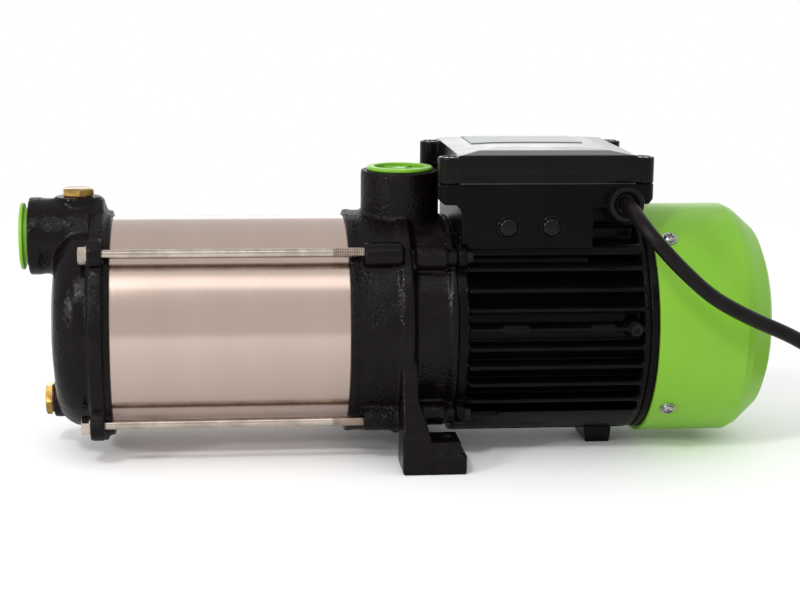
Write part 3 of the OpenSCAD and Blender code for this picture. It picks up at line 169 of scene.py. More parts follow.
def coilTurns(look):
    # two turns inwards on the floor, a climb of one diameter, and two turns outwards on top of them
    ringPoints = []
    cx, cy = look["coilCentre"]
    climbStart, climbEnd = look["climb"]
    first, last = look["startAngle"], look["endAngle"]
    for degrees in range(first, last, look["angleStep"]):
        if degrees <= climbStart:
            r = look["outerRing"] - look["perTurn"] * (degrees - first) / 360
            z = look["floorZ"]
        elif degrees <= climbEnd:
            share = (degrees - climbStart) / (climbEnd - climbStart)
            r = look["innerRing"]
            z = look["floorZ"] + (look["upperZ"] - look["floorZ"]) * share * share * (3 - 2 * share)
        else:
            outwards = look["lastRing"] - look["innerRing"]
            r = look["innerRing"] + outwards * (degrees - climbEnd) / (last - climbEnd)
            z = look["upperZ"]
        a = math.radians(degrees)
        ringPoints.append(Vector((cx + r * math.cos(a), cy + r * math.sin(a), z)))
    return ringPoints


cordLine = smoothLine(cordRoute + coilTurns(cordLook) + cordTail, cordLook["curveSteps"])
cordCurve = bpy.data.curves.new("mainsCord", "CURVE")
cordCurve.dimensions = "3D"
cordCurve.bevel_depth = cordLook["diameter"] * mm / 2
cordCurve.bevel_resolution = cordLook["sectionSteps"]
cordCurve.use_fill_caps = True
spline = cordCurve.splines.new("POLY")
spline.points.add(len(cordLine) - 1)
for point, place in zip(spline.points, cordLine):
    point.co = (*(place * mm), 1)
spline.use_smooth = True
cord = bpy.data.objects.new("mainsCord", cordCurve)
bpy.context.scene.collection.objects.link(cord)
bpy.ops.object.select_all(action="DESELECT")
cord.select_set(True)
bpy.context.view_layer.objects.active = cord
bpy.ops.object.convert(target="MESH")
cord = bpy.context.object
cord.name = "mainsCord"
bpy.ops.object.shade_smooth()
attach(cord, "pump")
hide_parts("mains_cord", "cord_coil")


# ---- finishes
colourBand = (0.35, 0.65)  # noise values at which the first colour ends and the second begins
noiseBand = (0.3, 0.7)  # a noise's values lie mostly between these


def objectPlace(tree, stretch=(1, 1, 1)):
    # the place on the piece in m, times a scale for each axis
    place = addNode(tree, "ShaderNodeTexCoord")
    return addNode(tree, "ShaderNodeMapping", {"Scale": stretch}, {"Vector": place.outputs["Object"]})


def makeFinish(name, look):
    # colours drift over driftSize mm, roughness over the same, and the skin has a grain of grainSize mm
    material, tree = newMaterial(name)
    place = objectPlace(tree, look.get("stretch", (1, 1, 1)))
    drift = addNode(tree, "ShaderNodeTexNoise", {"Scale": 1 / (look["driftSize"] * mm), "Detail": 4.0},
                    {"Vector": place.outputs[0]})
    colour = addNode(tree, "ShaderNodeValToRGB", {"stops": [
        (colourBand[0], hexColour(look["colours"][0])), (colourBand[1], hexColour(look["colours"][1]))]},
        {"Fac": drift.outputs["Fac"]})
    rough = addNode(tree, "ShaderNodeMapRange", {
        "From Min": noiseBand[0], "From Max": noiseBand[1],
        "To Min": look["rough"][0], "To Max": look["rough"][1]}, {"Value": drift.outputs["Fac"]})
    grain = addNode(tree, "ShaderNodeTexNoise", {"Scale": 1 / (look["grainSize"] * mm), "Detail": 3.0},
                    {"Vector": place.outputs[0]})
    height = addNode(tree, "ShaderNodeBump", {"Strength": look["bump"], "Distance": look["depth"] * mm},
                     {"Height": grain.outputs["Fac"]})
    skin = {"Metallic": look.get("metallic", 0.0), "Specular IOR Level": look.get("specular", 0.5)}
    if "coat" in look:
        skin.update({"Coat Weight": look["coat"], "Coat Roughness": look["coatRough"]})
    if "ior" in look:
        skin["IOR"] = look["ior"]
    shader = addNode(tree, "ShaderNodeBsdfPrincipled", skin, {
        "Base Color": colour.outputs["Color"], "Roughness": rough.outputs[0], "Normal": height.outputs[0]})
    finishMaterial(tree, shader)
    return material


finishes = {
    # stoving enamel over die-cast aluminium: the pressed skin shows as a soft, fine orange peel
    "enamelledAluminium": {"colours": ("#070707", "#0c0b0c"), "rough": (0.2, 0.3), "driftSize": 30,
                           "grainSize": 2.2, "bump": 0.35, "depth": 0.25, "ior": 1.5, "specular": 0.03,
                           "coat": 0.06, "coatRough": 0.12},
    # plain stainless rod and bolts: bright, with a faint warm cast
    "stainlessBolt": {"colours": ("#a0958a", "#b9aea2"), "rough": (0.1, 0.18), "driftSize": 8,
                      "grainSize": 0.5, "bump": 0.06, "depth": 0.03, "metallic": 1.0},
    # bright zinc plate: bluish white, slightly cloudy
    "zincPlate": {"colours": ("#8d8f90", "#acadad"), "rough": (0.18, 0.3), "driftSize": 3,
                  "grainSize": 0.6, "bump": 0.15, "depth": 0.05, "metallic": 1.0},
    # turned brass: golden, a little dulled by handling
    "turnedBrass": {"colours": ("#7d6230", "#a98a4e"), "rough": (0.14, 0.24), "driftSize": 6,
                    "grainSize": 0.7, "bump": 0.15, "depth": 0.05, "metallic": 1.0},
    # annealed copper washer, gone brown with age
    "copperWasher": {"colours": ("#5c3f32", "#755141"), "rough": (0.35, 0.5), "driftSize": 4,
                     "grainSize": 0.6, "bump": 0.15, "depth": 0.05, "metallic": 1.0},
    # injection moulded ABS, satin: even green with a faint mould grain
    "satinGreenAbs": {"colours": ("#73aa2a", "#7bb031"), "rough": (0.34, 0.44), "driftSize": 60,
                      "grainSize": 0.9, "bump": 0.12, "depth": 0.06, "ior": 1.53, "specular": 0.25},
    # black moulded nylon of the terminal box: satin, fine spark grain
    "blackNylon": {"colours": ("#080707", "#0d0b0c"), "rough": (0.16, 0.24), "driftSize": 40,
                   "grainSize": 1.0, "bump": 0.12, "depth": 0.04, "ior": 1.53, "specular": 0.1},
    # the box below its lid: the same nylon, duller, with painted shade: its colours are darker than the
    # lid's because light from above falls less on it
    "dullNylonPaintedShade": {"colours": ("#070606", "#0b0a0a"), "rough": (0.26, 0.36), "driftSize": 40,
                  "grainSize": 1.0, "bump": 0.12, "depth": 0.04, "ior": 1.53, "specular": 0.045},
    # the same nylon where the mould was polished: knock-outs shine
    "polishedNylon": {"colours": ("#080707", "#0d0b0c"), "rough": (0.1, 0.16), "driftSize": 12,
                      "grainSize": 1.0, "bump": 0.05, "depth": 0.02, "ior": 1.53, "specular": 0.04,
                      "coat": 0.2, "coatRough": 0.08},
    # black polypropylene of fan and gland
    "blackPolypropylene": {"colours": ("#0a090a", "#100f10"), "rough": (0.3, 0.42), "driftSize": 25,
                           "grainSize": 1.2, "bump": 0.15, "depth": 0.06, "ior": 1.49,
                           "specular": 0.12},
    # rubber flex: dark with a brown cast and a dull skin
    "flexRubber": {"colours": ("#0b0708", "#120d0e"), "rough": (0.32, 0.42), "driftSize": 14,
                   "grainSize": 0.8, "bump": 0.12, "depth": 0.05, "ior": 1.5, "specular": 0.12},
    # moulded nitrile of the seals and gaskets
    "nitrileRubber": {"colours": ("#151515", "#202020"), "rough": (0.55, 0.7), "driftSize": 9,
                      "grainSize": 0.5, "bump": 0.2, "depth": 0.05, "ior": 1.5},
    # clear-anodised plate left bare: pale, brushed along its length
    "barePlate": {"colours": ("#949799", "#9fa2a4"), "rough": (0.4, 0.46), "driftSize": 30,
                  "grainSize": 0.8, "bump": 0.05, "depth": 0.02, "metallic": 0.6,
                  "stretch": (0.1, 1, 1)},
    # phosphated dark steel of clips and springs
    "darkSteel": {"colours": ("#19191a", "#262627"), "rough": (0.35, 0.5), "driftSize": 5,
                  "grainSize": 0.5, "bump": 0.15, "depth": 0.05, "metallic": 1.0},
    # ground bearing steel: mirror bright
    "groundSteel": {"colours": ("#b8babc", "#cfd0d1"), "rough": (0.1, 0.18), "driftSize": 6,
                    "grainSize": 0.5, "bump": 0.06, "depth": 0.03, "metallic": 1.0},
    # turned shaft: fine rings from the lathe
    "turnedShaft": {"colours": ("#a9abad", "#c6c7c8"), "rough": (0.2, 0.3), "driftSize": 5,
                    "grainSize": 0.6, "bump": 0.2, "depth": 0.05, "metallic": 1.0,
                    "stretch": (1, 0.05, 0.05)},
    # stacked electrical sheet: thin rings, oil-dark
    "stackedSheet": {"colours": ("#4b4c50", "#77797d"), "rough": (0.3, 0.5), "driftSize": 1.2,
                     "grainSize": 1.0, "bump": 0.4, "depth": 0.1, "metallic": 1.0,
                     "stretch": (1, 0.02, 0.02)},
    # enamelled copper wire, varnished
    "varnishedCopper": {"colours": ("#8c3f16", "#b8642a"), "rough": (0.2, 0.35), "driftSize": 1.6,
                        "grainSize": 1.2, "bump": 0.6, "depth": 0.3, "metallic": 1.0,
                        "stretch": (1, 0.3, 0.3)},
    # die-cast rotor alloy: pale and grainy
    "castAlloy": {"colours": ("#9c9d9e", "#b8b9ba"), "rough": (0.4, 0.55), "driftSize": 5,
                  "grainSize": 0.8, "bump": 0.3, "depth": 0.08, "metallic": 1.0},
    # glass-filled stage plastic: pale grey-white, matt
    "glassFilledPlastic": {"colours": ("#c9c8c0", "#d8d7d0"), "rough": (0.4, 0.55), "driftSize": 12,
                           "grainSize": 0.9, "bump": 0.15, "depth": 0.05, "ior": 1.55},
    # white moulded nylon of the terminal strip and capacitor
    "whiteNylon": {"colours": ("#dcdcd8", "#e8e8e4"), "rough": (0.35, 0.5), "driftSize": 15,
                   "grainSize": 0.9, "bump": 0.12, "depth": 0.05, "ior": 1.53},
    # fired alumina seal face
    "alumina": {"colours": ("#e6e1d5", "#f0ece2"), "rough": (0.15, 0.25), "driftSize": 6,
                "grainSize": 0.5, "bump": 0.05, "depth": 0.02, "ior": 1.76},
    # carbon graphite seal face: grey-black with a soft metallic sheen
    "graphite": {"colours": ("#232426", "#333437"), "rough": (0.35, 0.45), "driftSize": 4,
                 "grainSize": 0.4, "bump": 0.1, "depth": 0.03, "metallic": 0.4},
    # nickel plated plug pins
    "nickelPlate": {"colours": ("#c2bcae", "#d4cfc3"), "rough": (0.12, 0.22), "driftSize": 5,
                    "grainSize": 0.5, "bump": 0.06, "depth": 0.03, "metallic": 1.0},
}
made = {name: makeFinish(name, look) for name, look in finishes.items()}


def makeEnamelledIron():
    # thick black enamel over a sand casting: swells of 5.5 mm, a glassy coat that sparkles on
    # the sand grit, which is drawn 1.6 mm wide so that it shows
    look = {
        "swell": 5.5, "swellHeight": 0.45, "grit": 1.6, "gritHeight": 1.0, "patch": 38,  # mm
        "colours": ("#090607", "#100a0c"), "rough": (0.2, 0.34),
        "patchBand": (0.42, 0.6), "gritShare": (0.25, 1.0),  # grit is 1/4 as deep outside the patches
        "specular": 0.01, "coat": 0.2, "coatRough": 0.1, "ior": 1.5,
    }
    material, tree = newMaterial("enamelledIron")
    place = objectPlace(tree)
    swell = addNode(tree, "ShaderNodeTexNoise", {
        "Scale": 1 / (look["swell"] * mm), "Detail": 2.0, "Roughness": 0.45}, {"Vector": place.outputs[0]})
    grit = addNode(tree, "ShaderNodeTexNoise", {"Scale": 1 / (look["grit"] * mm), "Detail": 3.0},
                   {"Vector": place.outputs[0]})
    patch = addNode(tree, "ShaderNodeTexNoise", {"Scale": 1 / (look["patch"] * mm), "Detail": 2.0},
                    {"Vector": place.outputs[0]})
    gritShare = addNode(tree, "ShaderNodeMapRange", {
        "From Min": look["patchBand"][0], "From Max": look["patchBand"][1],
        "To Min": look["gritShare"][0], "To Max": look["gritShare"][1]}, {"Value": patch.outputs["Fac"]})
    colour = addNode(tree, "ShaderNodeValToRGB", {"stops": [
        (noiseBand[0], hexColour(look["colours"][0])), (noiseBand[1], hexColour(look["colours"][1]))]},
        {"Fac": swell.outputs["Fac"]})
    rough = addNode(tree, "ShaderNodeMapRange", {
        "From Min": 0.15, "From Max": 1.0, "To Min": look["rough"][0], "To Max": look["rough"][1]},
        {"Value": gritShare.outputs[0]})
    broad = addNode(tree, "ShaderNodeBump", {"Strength": 0.8, "Distance": look["swellHeight"] * mm},
                    {"Height": swell.outputs["Fac"]})
    fine = addNode(tree, "ShaderNodeBump", {"Distance": look["gritHeight"] * mm}, {
        "Height": grit.outputs["Fac"], "Strength": gritShare.outputs[0], "Normal": broad.outputs[0]})
    shader = addNode(tree, "ShaderNodeBsdfPrincipled", {
        "IOR": look["ior"], "Specular IOR Level": look["specular"], "Coat Weight": look["coat"],
        "Coat Roughness": look["coatRough"], "Coat IOR": look["ior"]}, {
        "Base Color": colour.outputs["Color"], "Roughness": rough.outputs[0], "Normal": fine.outputs[0],
        "Coat Normal": fine.outputs[0]})
    finishMaterial(tree, shader)
    return material


def makeBrushedBarrel():
    # rolled stainless sheet, brushed round the barrel: the hair lines stand 0.25 mm apart along its
    # length and are drawn 0.5 mm apart so that they show
    look = {
        "line": 0.5, "lineHeight": 0.012, "band": 30,  # mm
        "drawn": 0.012,  # scale of the lines round the barrel against that along it
        "colours": ("#b19f95", "#b4a298"), "rough": (0.17, 0.21), "bump": 0.15,
    }
    material, tree = newMaterial("brushedStainless")
    lines = objectPlace(tree, (1, look["drawn"], look["drawn"]))
    hair = addNode(tree, "ShaderNodeTexNoise", {
        "Scale": 1 / (look["line"] * mm), "Detail": 3.0, "Roughness": 0.6}, {"Vector": lines.outputs[0]})
    band = addNode(tree, "ShaderNodeTexNoise", {"Scale": 1 / (look["band"] * mm), "Detail": 2.0},
                   {"Vector": lines.outputs[0]})
    colour = addNode(tree, "ShaderNodeValToRGB", {"stops": [
        (colourBand[0], hexColour(look["colours"][0])), (colourBand[1], hexColour(look["colours"][1]))]},
        {"Fac": band.outputs["Fac"]})
    rough = addNode(tree, "ShaderNodeMapRange", {
        "From Min": noiseBand[0], "From Max": noiseBand[1],
        "To Min": look["rough"][0], "To Max": look["rough"][1]}, {"Value": hair.outputs["Fac"]})
    height = addNode(tree, "ShaderNodeBump", {
        "Strength": look["bump"], "Distance": look["lineHeight"] * mm}, {"Height": hair.outputs["Fac"]})
    shader = addNode(tree, "ShaderNodeBsdfPrincipled", {"Metallic": 1.0}, {
        "Base Color": colour.outputs["Color"], "Roughness": rough.outputs[0], "Normal": height.outputs[0]})
    finishMaterial(tree, shader)
    return material


made["enamelledIron"] = makeEnamelledIron()
made["brushedStainless"] = makeBrushedBarrel()
finishOfSlot = {
    "black_iron": "enamelledIron", "black_aluminium": "enamelledAluminium", "stainless": "stainlessBolt",
    "zinc_steel": "zincPlate", "green_plastic": "satinGreenAbs", "brass": "turnedBrass",
    "copper_washer": "copperWasher", "black_plastic": "blackNylon", "fan_plastic": "blackPolypropylene",
    "rubber": "nitrileRubber", "cord_rubber": "flexRubber", "plate": "barePlate", "dark_steel": "darkSteel",
    "bearing_steel": "groundSteel", "shaft_steel": "turnedShaft", "laminations": "stackedSheet",
    "copper": "varnishedCopper", "rotor_alloy": "castAlloy", "stage_plastic": "glassFilledPlastic",
    "white_plastic": "whiteNylon", "ceramic": "alumina", "graphite": "graphite", "nickel": "nickelPlate",
}
slotOf = {s["node"]: s["material_slot"] for s in frame["record"]["subparts"]}
bodyOf = {name: body_of(node)[0] for name, node in nodes.items()}
for name, node in nodes.items():
    wear(node, made[finishOfSlot[slotOf[name]]])
wear(nodes["barrel"], made["brushedStainless"])
wear(nodes["earth_screw"], made["darkSteel"])
wear(cord, made["flexRubber"])
print("finishes made,", len(made))


# ---- castings and mouldings: the CAD node's form, with the round edges that a mould leaves
castings = {
    # grid in mm, rounds of smoothing, and the share of the triangles that is kept
    "suction_casing": {"piece": "suctionCasting", "grid": 1.0, "rounds": 5, "keep": 0.5},
    "discharge_bracket": {"piece": "dischargeCasting", "grid": 1.0, "rounds": 5, "keep": 0.5},
    "motor_housing": {"piece": "motorCasting", "grid": 0.8, "rounds": 3, "keep": 0.4},
    "end_shield": {"piece": "shieldCasting", "grid": 1.0, "rounds": 3, "keep": 0.5},
    # the terminal box wears the darker copy of the lid's nylon, which is painted shade
    "terminal_box": {"piece": "boxMoulding", "grid": 0.8, "rounds": 3, "keep": 0.4, "finish": "dullNylonPaintedShade"},
    "box_lid": {"piece": "lidMoulding", "grid": 0.8, "rounds": 3, "keep": 0.4},
}
mouldMarks = {"weld": 0.002, "smoothing": 0.5, "mostTriangles": 150000}  # weld in mm


def onePiece(piece):
    bpy.ops.object.select_all(action="DESELECT")
    piece.select_set(True)
    bpy.context.view_layer.objects.active = piece


def applyModifier(piece, kind, settings):
    modifier = piece.modifiers.new(kind.title(), kind)
    for key, value in settings.items():
        setattr(modifier, key, value)
    onePiece(piece)
    bpy.ops.object.modifier_apply(modifier=modifier.name)


def triangles(piece):
    return sum(len(p.vertices) - 2 for p in piece.data.polygons)


def standFor(piece, node, finish):
    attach(piece, bodyOf[node])
    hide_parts(node)
    wear(piece, made[finish])


def roundedCasting(node, look):
    piece = bpy.data.objects.new(look["piece"], nodes[node].data.copy())
    bpy.context.scene.collection.objects.link(piece)
    onePiece(piece)
    bpy.ops.object.mode_set(mode="EDIT")
    bpy.ops.mesh.select_all(action="SELECT")
    bpy.ops.mesh.remove_doubles(threshold=mouldMarks["weld"] * mm)
    bpy.ops.object.mode_set(mode="OBJECT")
    applyModifier(piece, "REMESH", {"mode": "VOXEL", "voxel_size": look["grid"] * mm})
    applyModifier(piece, "SMOOTH", {"factor": mouldMarks["smoothing"], "iterations": look["rounds"]})
    share = min(look["keep"], mouldMarks["mostTriangles"] / triangles(piece))
    applyModifier(piece, "DECIMATE", {"ratio": share})
    bpy.ops.object.shade_smooth()
    standFor(piece, node, look.get("finish", finishOfSlot[slotOf[node]]))
    print(look["piece"], triangles(piece), "triangles")


for node, look in castings.items():
    roundedCasting(node, look)


# ---- small pieces, turned, cut and put together by hand
sharpAngle = 32  # degrees; flatter edges are shaded smooth
towards = {"z": (0, 0, 0), "x": (0, 90, 0), "-x": (0, -90, 0), "-y": (90, 0, 0)}


def cornersOf(node):
    # lowest and highest corners, in mm
    return [[c / mm for c in corner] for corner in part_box(node)]


def middleOf(node, axis):
    # in mm; axis is 0, 1 or 2
    low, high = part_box(node)
    return (low[axis] + high[axis]) / 2 / mm


def applyPlace(piece, matrix):
    piece.matrix_world = matrix
    onePiece(piece)
    bpy.ops.object.transform_apply(location=True, rotation=True, scale=True)


def settle(piece, at, axis, spin=0):
    # turns the piece's own Z towards axis, puts it at a place in mm and applies both
    applyPlace(piece, Matrix.Translation([c * mm for c in at])
               @ (Matrix.Rotation(math.radians(towards[axis][0]), 4, "X")
                  @ Matrix.Rotation(math.radians(towards[axis][1]), 4, "Y"))
               @ Matrix.Rotation(math.radians(spin), 4, "Z"))
    return piece


def turnPiece(name, profile, segments=48):
    # lathe work: a ring drawn out along Z through each (height, radius) of the profile, in mm
    bpy.ops.object.select_all(action="DESELECT")
    z, r = profile[0]
    bpy.ops.mesh.primitive_circle_add(vertices=segments, radius=r * mm, fill_type="NOTHING",
                                      location=(0, 0, 0))
    piece = bpy.context.object
    piece.name = name
    bpy.ops.object.mode_set(mode="EDIT")
    bpy.ops.mesh.select_all(action="SELECT")
    bpy.ops.transform.translate(value=(0, 0, z * mm))
    bpy.ops.mesh.edge_face_add()
    for (z0, r0), (z1, r1) in zip(profile, profile[1:]):
        bpy.ops.mesh.extrude_region_move(TRANSFORM_OT_translate={"value": (0, 0, (z1 - z0) * mm)})
        bpy.ops.transform.resize(value=(r1 / r0, r1 / r0, 1), center_override=(0, 0, z1 * mm))
    bpy.ops.mesh.select_all(action="SELECT")
    bpy.ops.mesh.normals_make_consistent(inside=False)
    bpy.ops.object.mode_set(mode="OBJECT")
    return piece


def blockPiece(name, size, at):
    bpy.ops.object.select_all(action="DESELECT")
    bpy.ops.mesh.primitive_cube_add(size=1, location=[c * mm for c in at], scale=[c * mm for c in size])
    piece = bpy.context.object
    piece.name = name
    bpy.ops.object.transform_apply(location=True, rotation=True, scale=True)
    return piece


def combine(piece, tools, operation):
    for tool in tools:
        modifier = piece.modifiers.new("Cut", "BOOLEAN")
        modifier.operation, modifier.solver, modifier.object = operation, "EXACT", tool
        onePiece(piece)
        bpy.ops.object.modifier_apply(modifier=modifier.name)
        bpy.data.objects.remove(tool)
    return piece


def smoothEdges(piece):
    onePiece(piece)
    bpy.ops.object.shade_smooth_by_angle(angle=math.radians(sharpAngle))


def joinPieces(name, parts):
    bpy.ops.object.select_all(action="DESELECT")
    for part in parts:
        part.select_set(True)
    bpy.context.view_layer.objects.active = parts[0]
    bpy.ops.object.join()
    parts[0].name = name
    smoothEdges(parts[0])
    return parts[0]


def copyPiece(piece):
    twin = bpy.data.objects.new(piece.name + "Copy", piece.data.copy())
    bpy.context.scene.collection.objects.link(twin)
    return twin


hexagon = {"faceShare": 0.96, "chamferSlope": 0.577}  # share of the flats that the top keeps, and its slope


def hexHead(name, flats, height):
    # hexagon with its top corners turned off at 30 degrees
    corner = flats / 2 / math.cos(math.radians(30))
    face = flats / 2 * hexagon["faceShare"]
    head = turnPiece(name, [(0, corner), (height, corner)], 6)
    tip = (corner - face) * hexagon["chamferSlope"]
    chamfer = turnPiece("chamfer", [(-1, corner + 1), (0, corner + 0.05), (height - tip, corner + 0.01),
                                    (height + 0.02, face)])
    return combine(head, [chamfer], "INTERSECT")


tieBolt = {  # mm; y and z are counted from the barrel's axis
    "y": 50, "z": 49, "flats": 10, "head": 5, "washer": 5.6, "washerHeight": 0.6, "shank": 2.6,
    "threadLength": 36, "thread": 2.92, "root": 2.5, "pitch": 1.0,
    "ridge": (0.12, 0.55, 0.72),  # foot, start and end of each ridge's crest, along one pitch
}
axisZ = middleOf("barrel", 2)
rodStart = cornersOf("tie_bolts")[0][0] + tieBolt["head"]
rodLength = cornersOf("tie_bolts")[1][0] - rodStart
threadStart = rodLength - tieBolt["threadLength"]
rodProfile = [(0, tieBolt["shank"]), (threadStart, tieBolt["shank"])]
for i in range(int(tieBolt["threadLength"] / tieBolt["pitch"])):
    for along, radius in zip(tieBolt["ridge"], (tieBolt["root"], tieBolt["thread"], tieBolt["thread"])):
        rodProfile.append((threadStart + i * tieBolt["pitch"] + along, radius))
rodProfile.append((rodLength, tieBolt["root"]))
washerR = tieBolt["washer"] - tieBolt["washerHeight"]
rodMaster = turnPiece("rod", rodProfile, 24)
headMaster = hexHead("head", tieBolt["flats"], tieBolt["head"] - tieBolt["washerHeight"])
seatMaster = turnPiece("seat", [(0, washerR - 0.3), (0.1, washerR), (0.7, washerR)], 40)
boltParts = []
for side in (-1, 1):
    for level in (-1, 1):
        at = (side * tieBolt["y"], axisZ + level * tieBolt["z"])
        boltParts.append(settle(copyPiece(rodMaster), (rodStart, *at), "x"))
        boltParts.append(settle(copyPiece(headMaster), (rodStart - tieBolt["washerHeight"], *at), "-x",
                                20 * side + 15 * level))  # each head stands at its own angle
        boltParts.append(settle(copyPiece(seatMaster), (rodStart, *at), "-x"))
for master in (rodMaster, headMaster, seatMaster):
    bpy.data.objects.remove(master)
standFor(joinPieces("tieBolts", boltParts), "tie_bolts", "stainlessBolt")
print("tie bolts made")

cap = {
    "rim": 19.5, "rimHeight": 2.2, "seat": 16.7, "depth": 4.7, "wall": 1.6, "edge": 0.6,
    "rib": 1.3, "ribs": 6, "ribBevel": 0.25, "ribDrop": 0.9, "hub": 4.2, "hubTop": 3.5,
    "collar": 2.6,  # how far the suction cap stands off its port
}


def portCap(name, node, at, axis, collar):
    # push-in cap: soft rim, pocket with radial ribs and a small hub
    top = collar + cap["rimHeight"]
    floorZ = -cap["depth"] + cap["wall"]
    pocketR = cap["seat"] - cap["wall"]
    body = turnPiece(name, [
        (-cap["depth"], cap["seat"] - cap["edge"]), (-cap["depth"] + cap["edge"], cap["seat"]),
        (collar, cap["seat"]), (collar + 0.05, cap["rim"] - 0.5), (collar + 0.5, cap["rim"]),
        (top - cap["edge"], cap["rim"]), (top, cap["rim"] - 0.7)], 72)
    pocket = turnPiece("pocket", [
        (floorZ, pocketR - 0.8), (floorZ + cap["edge"], pocketR), (top - 0.4, pocketR),
        (top + 0.6, pocketR + 0.9)], 72)
    combine(body, [pocket], "DIFFERENCE")
    ribFoot, ribTop = floorZ - 0.2, top - cap["ribDrop"]
    hub = turnPiece("hub", [(ribFoot, cap["hub"]), (ribTop - 0.5, cap["hub"] - 0.2),
                            (ribTop, cap["hubTop"])], 32)
    parts = [body, hub]
    for i in range(cap["ribs"] // 2):  # each bar makes two ribs
        rib = blockPiece("rib", (2 * pocketR + 0.6, cap["rib"], ribTop - ribFoot - 0.3),
                         (0, 0, (ribTop + ribFoot) / 2 - 0.15))
        applyModifier(rib, "BEVEL", {"width": cap["ribBevel"] * mm, "segments": 2})
        parts.append(settle(rib, (0, 0, 0), "z", i * 360 / cap["ribs"]))
    whole = joinPieces(name, parts)
    settle(whole, at, axis)
    standFor(whole, node, "satinGreenAbs")


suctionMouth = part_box("suction_cap")[0][0] / mm + cap["rimHeight"] + cap["collar"]
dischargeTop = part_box("discharge_cap")[1][2] / mm - cap["rimHeight"]
portCap("suctionPortCap", "suction_cap", (suctionMouth, 0, middleOf("suction_cap", 2)), "-x", cap["collar"])
portCap("dischargePortCap", "discharge_cap", (middleOf("discharge_cap", 0), 0, dischargeTop), "z", 0)
print("port caps made")

plug = {
    "flats": 17, "collarEdge": 0.6, "thread": 6.5, "threadDepth": 0.8, "pitch": 1.34,
    "ridge": (0.1, 0.65, 0.85),  # foot, start and end of each ridge's crest, along one pitch
    "washer": 1.0, "washerOuter": 8.25, "washerHole": 6.65,
}


def brassPlug(name, node, washerNode, axis, spin):
    low, high = cornersOf(node)
    washerLow, washerHigh = cornersOf(washerNode)
    centre = [(a + b) / 2 for a, b in zip(low, high)]
    if axis == "z":
        seat, top, tip = washerHigh[2], high[2], low[2]
        at, washerAt = (centre[0], centre[1], seat), (centre[0], centre[1], seat - plug["washer"])
    else:
        seat, top, tip = -washerLow[0], -low[0], -high[0]
        at, washerAt = (-seat, centre[1], centre[2]), (-seat + plug["washer"], centre[1], centre[2])
    head = hexHead(name, plug["flats"], top - seat)
    collarR = plug["flats"] / 2
    collar = turnPiece("collar", [(0.02, collarR), (0.7, collarR + 0.05),
                                  (0.9, collarR - plug["collarEdge"])])
    root, crest = plug["thread"] - plug["threadDepth"], plug["thread"] - 0.02
    threadProfile = [(tip - seat, root - 0.2)]
    for i in range(int((seat - tip - plug["washer"]) / plug["pitch"])):
        base = tip - seat + 0.3 + i * plug["pitch"]
        for along, radius in zip(plug["ridge"], (root, crest, crest)):
            threadProfile.append((base + along, radius))
    threadProfile += [(-plug["washer"], root), (0.3, root)]
    whole = joinPieces(name, [head, collar, turnPiece("thread", threadProfile, 40)])
    settle(whole, at, axis, spin)
    standFor(whole, node, "turnedBrass")
    outer = plug["washerOuter"]
    ring = turnPiece(washerNode + "Ring", [(0, outer - 0.25), (0.12, outer), (plug["washer"] - 0.12, outer),
                                           (plug["washer"], outer - 0.25)], 56)
    hole = turnPiece("hole", [(-1, plug["washerHole"]), (2, plug["washerHole"])], 56)
    combine(ring, [hole], "DIFFERENCE")
    smoothEdges(ring)
    settle(ring, washerAt, axis)
    standFor(ring, washerNode, "copperWasher")


brassPlug("primingPlugBrass", "priming_plug", "priming_washer", "z", 9)
brassPlug("drainPlugBrass", "drain_plug", "drain_washer", "-x", 0)
print("brass plugs made")

coverScrew = {
    "angles": (52, 128, 220, 320), "spins": (25, 62, 99, 136),  # degrees
    "head": 3.5, "headHeight": 2.0, "washer": 4.7, "washerHeight": 0.9, "shank": 1.98, "tip": 1.4,
    "length": 10.3, "slot": (4.8, 1.15, 2.8), "slotLevel": 2.75,
}
coverR = (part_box("fan_cover")[1][2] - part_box("fan_cover")[0][2]) / 2 / mm
washerR, headR, headFoot = coverScrew["washer"], coverScrew["head"], coverScrew["washerHeight"]
headMaster = turnPiece("panHead", [
    (-coverScrew["length"], coverScrew["tip"]), (-coverScrew["length"] + 0.8, coverScrew["shank"]),
    (0.05, coverScrew["shank"]), (0.06, washerR - 0.1), (0.2, washerR), (headFoot - 0.1, washerR - 0.1),
    (headFoot, headR), (headFoot + 1.1, headR - 0.15), (headFoot + 1.7, headR - 0.9),
    (headFoot + coverScrew["headHeight"], 0.9)], 40)
slotLength, slotWidth, slotDepth = coverScrew["slot"]
recess = [turnPiece("slotMiddle", [(0.9, 0.6), (4, 1.6)], 4),
          blockPiece("slotAlong", (slotLength, slotWidth, slotDepth), (0, 0, coverScrew["slotLevel"])),
          blockPiece("slotAcross", (slotWidth, slotLength, slotDepth), (0, 0, coverScrew["slotLevel"]))]
combine(headMaster, recess, "DIFFERENCE")
screwParts = []
for angle, spin in zip(coverScrew["angles"], coverScrew["spins"]):
    part = copyPiece(headMaster)
    applyPlace(part, Matrix.Translation((middleOf("fan_cover_screws", 0) * mm, 0, axisZ * mm))
               @ Matrix.Rotation(math.radians(angle - 90), 4, "X")
               @ Matrix.Translation((0, 0, coverR * mm)) @ Matrix.Rotation(math.radians(spin), 4, "Z"))
    screwParts.append(part)
bpy.data.objects.remove(headMaster)
standFor(joinPieces("coverScrews", screwParts), "fan_cover_screws", "zincPlate")
print("cover screws made")

